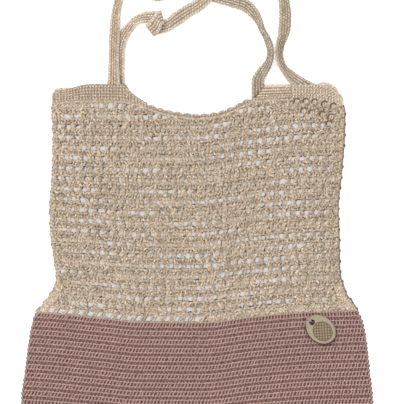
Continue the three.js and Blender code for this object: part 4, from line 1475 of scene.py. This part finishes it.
class BAG_OT_openwork(bpy.types.Operator):
    """Crochet the openwork body, front and back"""

    bl_idname = "bag.openwork"
    bl_label = "Openwork"
    bl_options = {"REGISTER", "UNDO"}

    def execute(self, context):
        settings = context.scene.produce_bag
        size = settings.stitches
        sizes = {key: millimetres(getattr(size, key)) for key in
                 ("stitch_radius", "rail_reach", "cord_radius", "post_radius", "post_reach")}
        for number, side in enumerate(("front", "back")):
            front = side == "front"
            draw = np.random.default_rng(OPENWORK_SEED + number)
            cells = size.front_cells if front else size.back_cells
            rails = Bundle()
            openwork_rails(rails, front, cells, 6, sizes, draw)
            settle(rails, side + "_mesh_rails", cream_yarn(settings), "bag", "cream_mesh",
                   side + "_mesh_panel")
            posts = Bundle()
            openwork_posts(posts, front, size.front_cells, sizes, draw)
            joining_row(posts, front, cells, sizes, draw)
            corner_strands(posts, front, draw)
            if front:
                gathered_loops(posts, draw)
            settle(posts, side + "_mesh_posts", cream_yarn(settings), "bag", "cream_mesh",
                   side + "_mesh_panel")
        return {"FINISHED"}


class BAG_OT_seams(bpy.types.Operator):
    """Lay the looped seams round the sides and the bottom"""

    bl_idname = "bag.seams"
    bl_label = "Seams"
    bl_options = {"REGISTER", "UNDO"}

    def execute(self, context):
        settings = context.scene.produce_bag
        draw = np.random.default_rng(SEAM_SEED)
        low = BOTTOM_EDGE + SEAM_WIDTH + CLEARANCE
        thick = 2 * BASE_THICKNESS + CLEARANCE
        thin = 2 * MESH_THICKNESS + CLEARANCE
        pink, cream = pink_yarn(settings), cream_yarn(settings)
        u = np.linspace(0, 1, 200)
        bundle = Bundle()
        edge, ahead = even_edge(stack(place_across(u, low), low), BOTTOM_LOOP_PITCH)
        wrap_loops(bundle, edge, ahead, 1, thick, draw, reach=2.5, radius=1.15, lean=0.8,
                   shade=0.5, painted_dim=0)
        edge_core(bundle, edge, ahead, 1, thick)
        settle(bundle, "bottom_seam_loops", pink, "bag", "pink_yarn", "bottom_seam")
        for side, way, name in ((0.0, -1, "left"), (1.0, 1, "right")):
            high, top = (height_on(line, np.array([side]))[0]
                         for line in (joining_height, neck_height))
            y = mix(low, high, u)
            edge, ahead = even_edge(stack(place_across(side, y), y), SIDE_LOOP_PITCH)
            bundle = Bundle()
            # Outer sides of the loops painted in shade, far darker on the right edge
            shade = mix(0.5, 0.9, side)
            wrap_loops(bundle, edge, ahead, way, thick, draw, reach=2.5, radius=1.35, lean=0.7,
                       shade=shade, painted_dim=mix(0, 5, side))
            edge_core(bundle, edge, ahead, way, thick)
            settle(bundle, name + "_base_seam_loops", pink, "bag", "pink_yarn",
                   name + "_base_seam")
            y = mix(high, top, u)
            edge, ahead = even_edge(stack(place_across(side, y), y), RAIL_PITCH / 3)
            bundle = Bundle()
            # Outer sides of the loops painted in shade, far darker on the right edge
            painted_dim = mix(0.5, 5.5, side)
            wrap_loops(bundle, edge, ahead, way, thin, draw, reach=2.7, radius=1.35, lean=1.2,
                       shade=shade, painted_dim=painted_dim)
            wrap_loops(bundle, edge[::3], ahead[::3], way, thin, draw, reach=mix(3.6, 4.2, side),
                       radius=2.0, lean=-1.2, shade=shade, painted_dim=painted_dim)
            edge_core(bundle, edge, ahead, way, thin)
            if name == "right":
                # Dark rod painted as the shadow along the right edge
                edge_core(bundle, edge, ahead, way, thin, out=2.2, radius=1.0, tone=-4.0)
            settle(bundle, name + "_mesh_seam_loops", cream, "bag", "cream_mesh",
                   name + "_mesh_seam")
        return {"FINISHED"}


class BAG_OT_bands(bpy.types.Operator):
    """Crochet the two shoulder bands"""

    bl_idname = "bag.bands"
    bl_label = "Shoulder bands"
    bl_options = {"REGISTER", "UNDO"}

    def execute(self, context):
        settings = context.scene.produce_bag
        size = settings.stitches
        rows = size.band_rows
        # Each band: its name, its brightness, the share of painted shade on its ridges, and its
        # shape
        bands = (
            ("left", 0.85, 0.95,
             (-1, LEFT_BAND_END, LEFT_BAND_END, LEFT_BAND_DROP, LEFT_FRONT_DROP)),
            ("right", 2.65, 0.5,
             (1, FRONT_RIGHT_BAND_END, BACK_RIGHT_BAND_END, RIGHT_BAND_DROP, RIGHT_FRONT_DROP)),
        )
        for number, (name, tone, sunk_shade, shape) in enumerate(bands):
            draw = np.random.default_rng(BAND_SEED + number)
            _, length = band_surface(*shape, 1, 1)
            stitches = round(length / millimetres(size.band_pitch))
            surface, _ = band_surface(*shape, stitches, rows)
            bundle = Bundle()
            crochet_strip(bundle, surface, stitches, rows, draw, tone, sunk_shade)
            rope_strip(bundle, other_side(surface), stitches, rows, draw, (3.7, 3.7, 3.7), 0.15)
            bundle.core(surface, np.linspace(0, stitches, 121), np.linspace(0, rows, 4),
                        low=-0.35, high=0.35)
            if name == "right":
                rope_strip(bundle, mitre_patch, MITRE_STITCHES, MITRE_ROWS, draw, (-2.5, -2, -2))
                # Dark strand painted as the shadow in the slanting crease
                t = np.linspace(0, 1, 8)
                x = BACK_RIGHT_BAND_END + MITRE * t
                crease = stack(x, mix(neck_top(x) + 0.5, BAND_TOP, t), BAND_THICKNESS / 2 + 0.6)
                bundle.strands(crease[None], 1.1, UP, 6, -2.0, 1.0)
            settle(bundle, name + "_band_stitches", strap_yarn(settings), "bag", "cream_band",
                   name + "_shoulder_band")
        return {"FINISHED"}


class BAG_OT_edging(bpy.types.Operator):
    """Crochet the bumpy edging along the scooped neck"""

    bl_idname = "bag.edging"
    bl_label = "Neck edging"
    bl_options = {"REGISTER", "UNDO"}

    def execute(self, context):
        settings = context.scene.produce_bag
        for number, front in enumerate((True, False)):
            draw = np.random.default_rng(EDGING_SEED + number)
            ends = (LEFT_BAND_END, FRONT_RIGHT_BAND_END if front else BACK_RIGHT_BAND_END)
            x = np.linspace(ends[0] + CLEARANCE, ends[1] - CLEARANCE, 240)
            y = neck_top(x)
            run = run_along(np.stack([x, y], -1))
            slope = np.gradient(y, x)
            side = unit(stack(-slope, np.ones_like(x), 0 * x))

            def on_edge(s, up, height):
                at = [np.interp(s, run, v) for v in (x, y, side[:, 0], side[:, 1])]
                px, py = at[0] + at[2] * up, at[1] + at[3] * up
                if front:
                    return stack(px, py, front_underside(px, py) + EDGING_HEIGHT + height)
                return stack(px, py, EDGING_HEIGHT - height)

            bundle = Bundle()
            s = np.linspace(0, run[-1], round(run[-1] / 1.25))
            for strand in range(3):
                turn = 2 * np.pi * (s / PICOT_PITCH + strand / 3)
                path = on_edge(s, 1.5 + EDGING_SWING * np.sin(turn), 0.5 * np.sin(2 * turn))
                bundle.strands(path[None], EDGING_RADIUS, UP, 5, 0.5 * draw.standard_normal(1),
                               0.5 - 0.5 * np.cos(turn))
            last = np.interp(PICOTS_END, x, run)
            middle = np.arange(5, last, PICOT_PITCH)[:, None]
            middle = middle + 0.4 * draw.standard_normal(middle.shape)
            t = np.linspace(0, np.pi, 8)
            for reach, height in PICOT_ARCS:
                s = middle - reach * np.cos(t)
                path = on_edge(s, 1.8 + PICOT_RISE * np.sin(t), height + 0 * s)
                tone = 0.5 * draw.standard_normal(len(middle))
                # Painted shade at the feet of each bump, none at its top
                bundle.strands(path, PICOT_RADIUS, UP, 6, tone, 0.8 - 0.8 * np.sin(t))
            face = "front" if front else "back"
            settle(bundle, face + "_neck_edging_stitches", cream_yarn(settings), "bag",
                   "cream_band", face + "_neck_edging")
        return {"FINISHED"}


class BAG_OT_straps(bpy.types.Operator):
    """Crochet the two straps along their routes"""

    bl_idname = "bag.straps"
    bl_label = "Straps"
    bl_options = {"REGISTER", "UNDO"}

    def execute(self, context):
        settings = context.scene.produce_bag
        size = settings.stitches
        left, right = FRONT_STRAP_ROOTS
        front = [
            root_station(left, STRAP_WIDTH, 1, front_root_height),
            *map(station, FRONT_STRAP_ROUTE),
            root_station(right, FRONT_STRAP_RIGHT_ROOT_WIDTH, -1, front_root_height),
        ]
        left, right = BACK_STRAP_ROOTS
        back = [
            root_station(left, STRAP_WIDTH, 1, back_root_height),
            *map(station, BACK_STRAP_TO_FOLD),
            *fold_stations(FIRST_FOLD),
            *map(station, BETWEEN_FOLDS),
            *fold_stations(SECOND_FOLD)[::-1],
            *map(station, BACK_STRAP_FROM_FOLD),
            root_station(right, STRAP_WIDTH, -1, back_root_height),
        ]
        rows = size.strap_rows
        # Each strap: its name, its stations, its brightness at start, middle and end, which paints
        # light and shade along its length, its warmth, and where one edge is painted darker as
        # shade
        straps = (
            ("front_strap", front, (1.2, 0.7, -0.7), 0.25, FRONT_STRAP_SHADE),
            ("back_strap", back, (2.1, 0.8, -1.4), 0.0, BACK_STRAP_SHADE),
        )
        for number, (name, stations, tones, warm, shade) in enumerate(straps):
            draw = np.random.default_rng(STRAP_SEED + number)
            surface, stitches = strap_surface(stations, rows, millimetres(size.band_pitch))
            bundle = Bundle()
            for face in (surface, other_side(surface)):
                rope_strip(bundle, face, stitches, rows, draw, tones, warm, shade)
            bundle.core(surface, np.linspace(0, stitches, 2 * stitches + 1),
                        np.linspace(0.1, rows - 0.1, 4), low=-0.6, high=0.6, depth=0.6)
            settle(bundle, name + "_stitches", strap_yarn(settings), name, "cream_strap", name)
        return {"FINISHED"}


class BAG_OT_tag(bpy.types.Operator):
    """Finish the wooden tag and wind its tie"""

    bl_idname = "bag.tag"
    bl_label = "Tag and tie"
    bl_options = {"REGISTER", "UNDO"}

    def execute(self, context):
        settings = context.scene.produce_bag
        c = settings.colours
        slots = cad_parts["wooden_tag"].data.materials
        slots.clear()
        slots.append(material("tag_wood_grain", wood, c.wood, c.wood_grain, c.burnt, c.cut_edge))
        outer = TAG_LONG_RADIUS + TIE_RIM_GAP + TIE_RADIUS
        top = TAG_THICKNESS + CLEARANCE + TIE_RADIUS
        hole = TAG_HOLE_FROM_CENTRE
        bend = TIE_CORNER
        knots = np.array([
            (outer, 0.2), (outer, top - bend), (outer - 0.5, top - 0.5), (outer - bend, top),
            ((outer + hole) / 2, top), (hole + bend, top), (hole + 0.5, top - 0.5),
            (hole, top - bend), (hole, 0.2),
        ])
        run = run_along(knots)
        s = np.linspace(0, run[-1], 40)
        x, z = np.interp(s, run, knots[:, 0]), np.interp(s, run, knots[:, 1])
        ahead = unit(np.stack([np.gradient(x), np.gradient(z)], -1))
        turn = 2 * np.pi * (s / TIE_TWIST + np.arange(2)[:, None] / 2)
        side, lift = TIE_STRAND_SWING * np.sin(turn), TIE_STRAND_SWING * np.cos(turn)
        points = stack(x - lift * ahead[:, 1], side, z + lift * ahead[:, 0])
        matrix = np.array(tag_frame())
        matrix[:3, 3] /= MILLIMETRE
        points = points @ matrix[:3, :3].T + matrix[:3, 3]
        bundle = Bundle()
        # Painted shade on the part of the tie that goes down into the hole
        sunk_shade = eased(s, 0.58 * run[-1], 0.73 * run[-1])
        tone = np.array([[0.3], [-0.2]]) - 7 * sunk_shade
        bundle.strands(points, TIE_STRAND_RADIUS, matrix[:3, 1], 7, tone, sunk_shade)
        settle(bundle, "tag_tie_strand", pink_yarn(settings), "tie", "pink_yarn", "tag_tie")
        return {"FINISHED"}


class BAG_OT_stage(bpy.types.Operator):
    """Set up the floor, the light and the camera over the bag"""

    bl_idname = "bag.stage"
    bl_label = "Stage"
    bl_options = {"REGISTER", "UNDO"}

    def execute(self, context):
        stage = context.scene.produce_bag.stage
        scene = context.scene
        mesh = bpy.data.meshes.new("floor")
        signs = ((-1, -1), (1, -1), (1, 1), (-1, 1))
        corners = [(x * FLOOR_REACH, y * FLOOR_REACH, -FLOOR_DROP) for x, y in signs]
        mesh.from_pydata(corners, [], [(0, 1, 2, 3)])
        floor = bpy.data.objects.new("floor", mesh)
        scene.collection.objects.link(floor)
        bench = Bench("floor_white", Base_Color=FLOOR_COLOUR, Specular_IOR_Level=0.0,
                      Emission_Strength=stage.glow)
        seen, shiny, clear = (bench.node("ShaderNodeLightPath", output=f"Is {kind} Ray")
                              for kind in ("Camera", "Glossy", "Transmission"))
        shown = (seen + shiny + clear).within(0, 1)
        bench.feed(bench.shader.inputs["Emission Color"], bench.scaled(WHITE[:3], shown))
        mesh.materials.append(bench.material)

        world = bpy.data.worlds.new("room")
        world.use_nodes = True
        scene.world = world
        tree = world.node_tree
        light = tree.nodes["Background"]
        light.inputs["Color"].default_value = WHITE
        light.inputs["Strength"].default_value = stage.sky
        white = tree.nodes.new("ShaderNodeBackground")
        white.inputs["Color"].default_value = WHITE
        path = tree.nodes.new("ShaderNodeLightPath")
        both = tree.nodes.new("ShaderNodeMixShader")
        tree.links.new(path.outputs["Is Camera Ray"], both.inputs[0])
        tree.links.new(light.outputs[0], both.inputs[1])
        tree.links.new(white.outputs[0], both.inputs[2])
        tree.links.new(both.outputs[0], tree.nodes["World Output"].inputs[0])

        lamp = bpy.data.lights.new("soft_lamp", "SUN")
        lamp.energy = stage.sun
        lamp.angle = math.radians(LAMP_SPREAD)
        lamp_object = bpy.data.objects.new("soft_lamp", lamp)
        lamp_object.rotation_euler = [math.radians(turn) for turn in LAMP_TURN]
        scene.collection.objects.link(lamp_object)

        camera = bpy.data.cameras.new("camera")
        camera.lens = stage.lens
        camera.sensor_width = SENSOR_WIDTH
        camera_object = bpy.data.objects.new("camera", camera)
        camera_object.location = (*CAMERA_OVER, stage.distance)
        scene.collection.objects.link(camera_object)
        scene.camera = camera_object
        scene.view_settings.view_transform = "Standard"
        return {"FINISHED"}


class BAG_PT_maker(bpy.types.Panel):
    """Lists what makes the bag"""

    bl_label = "Produce Bag"
    bl_idname = "BAG_PT_maker"
    bl_space_type = "VIEW_3D"
    bl_region_type = "UI"
    bl_category = "Produce Bag"

    def draw(self, context):
        settings = context.scene.produce_bag
        for maker in MAKERS:
            self.layout.operator(maker.bl_idname)
        for group in (settings.colours, settings.stitches, settings.stage):
            box = self.layout.box()
            for key in group.__annotations__:
                box.prop(group, key)


MAKERS = (
    BAG_OT_stage, BAG_OT_base_panels, BAG_OT_openwork, BAG_OT_seams, BAG_OT_bands,
    BAG_OT_edging, BAG_OT_straps, BAG_OT_tag,
)
CLASSES = (BagColours, StitchSizes, StageSettings, BagSettings, *MAKERS, BAG_PT_maker)


def register():
    """Registers the settings, the operators and the panel."""
    for made in CLASSES:
        bpy.utils.register_class(made)
    bpy.types.Scene.produce_bag = bpy.props.PointerProperty(type=BagSettings)


def unregister():
    """Takes them out again."""
    del bpy.types.Scene.produce_bag
    for made in reversed(CLASSES):
        bpy.utils.unregister_class(made)


def main():
    """Makes the whole bag and its stage."""
    register()
    bpy.ops.bag.stage()
    bpy.ops.bag.base_panels()
    bpy.ops.bag.openwork()
    bpy.ops.bag.seams()
    bpy.ops.bag.bands()
    bpy.ops.bag.edging()
    bpy.ops.bag.straps()
    bpy.ops.bag.tag()


if __name__ == "__main__":
    main()
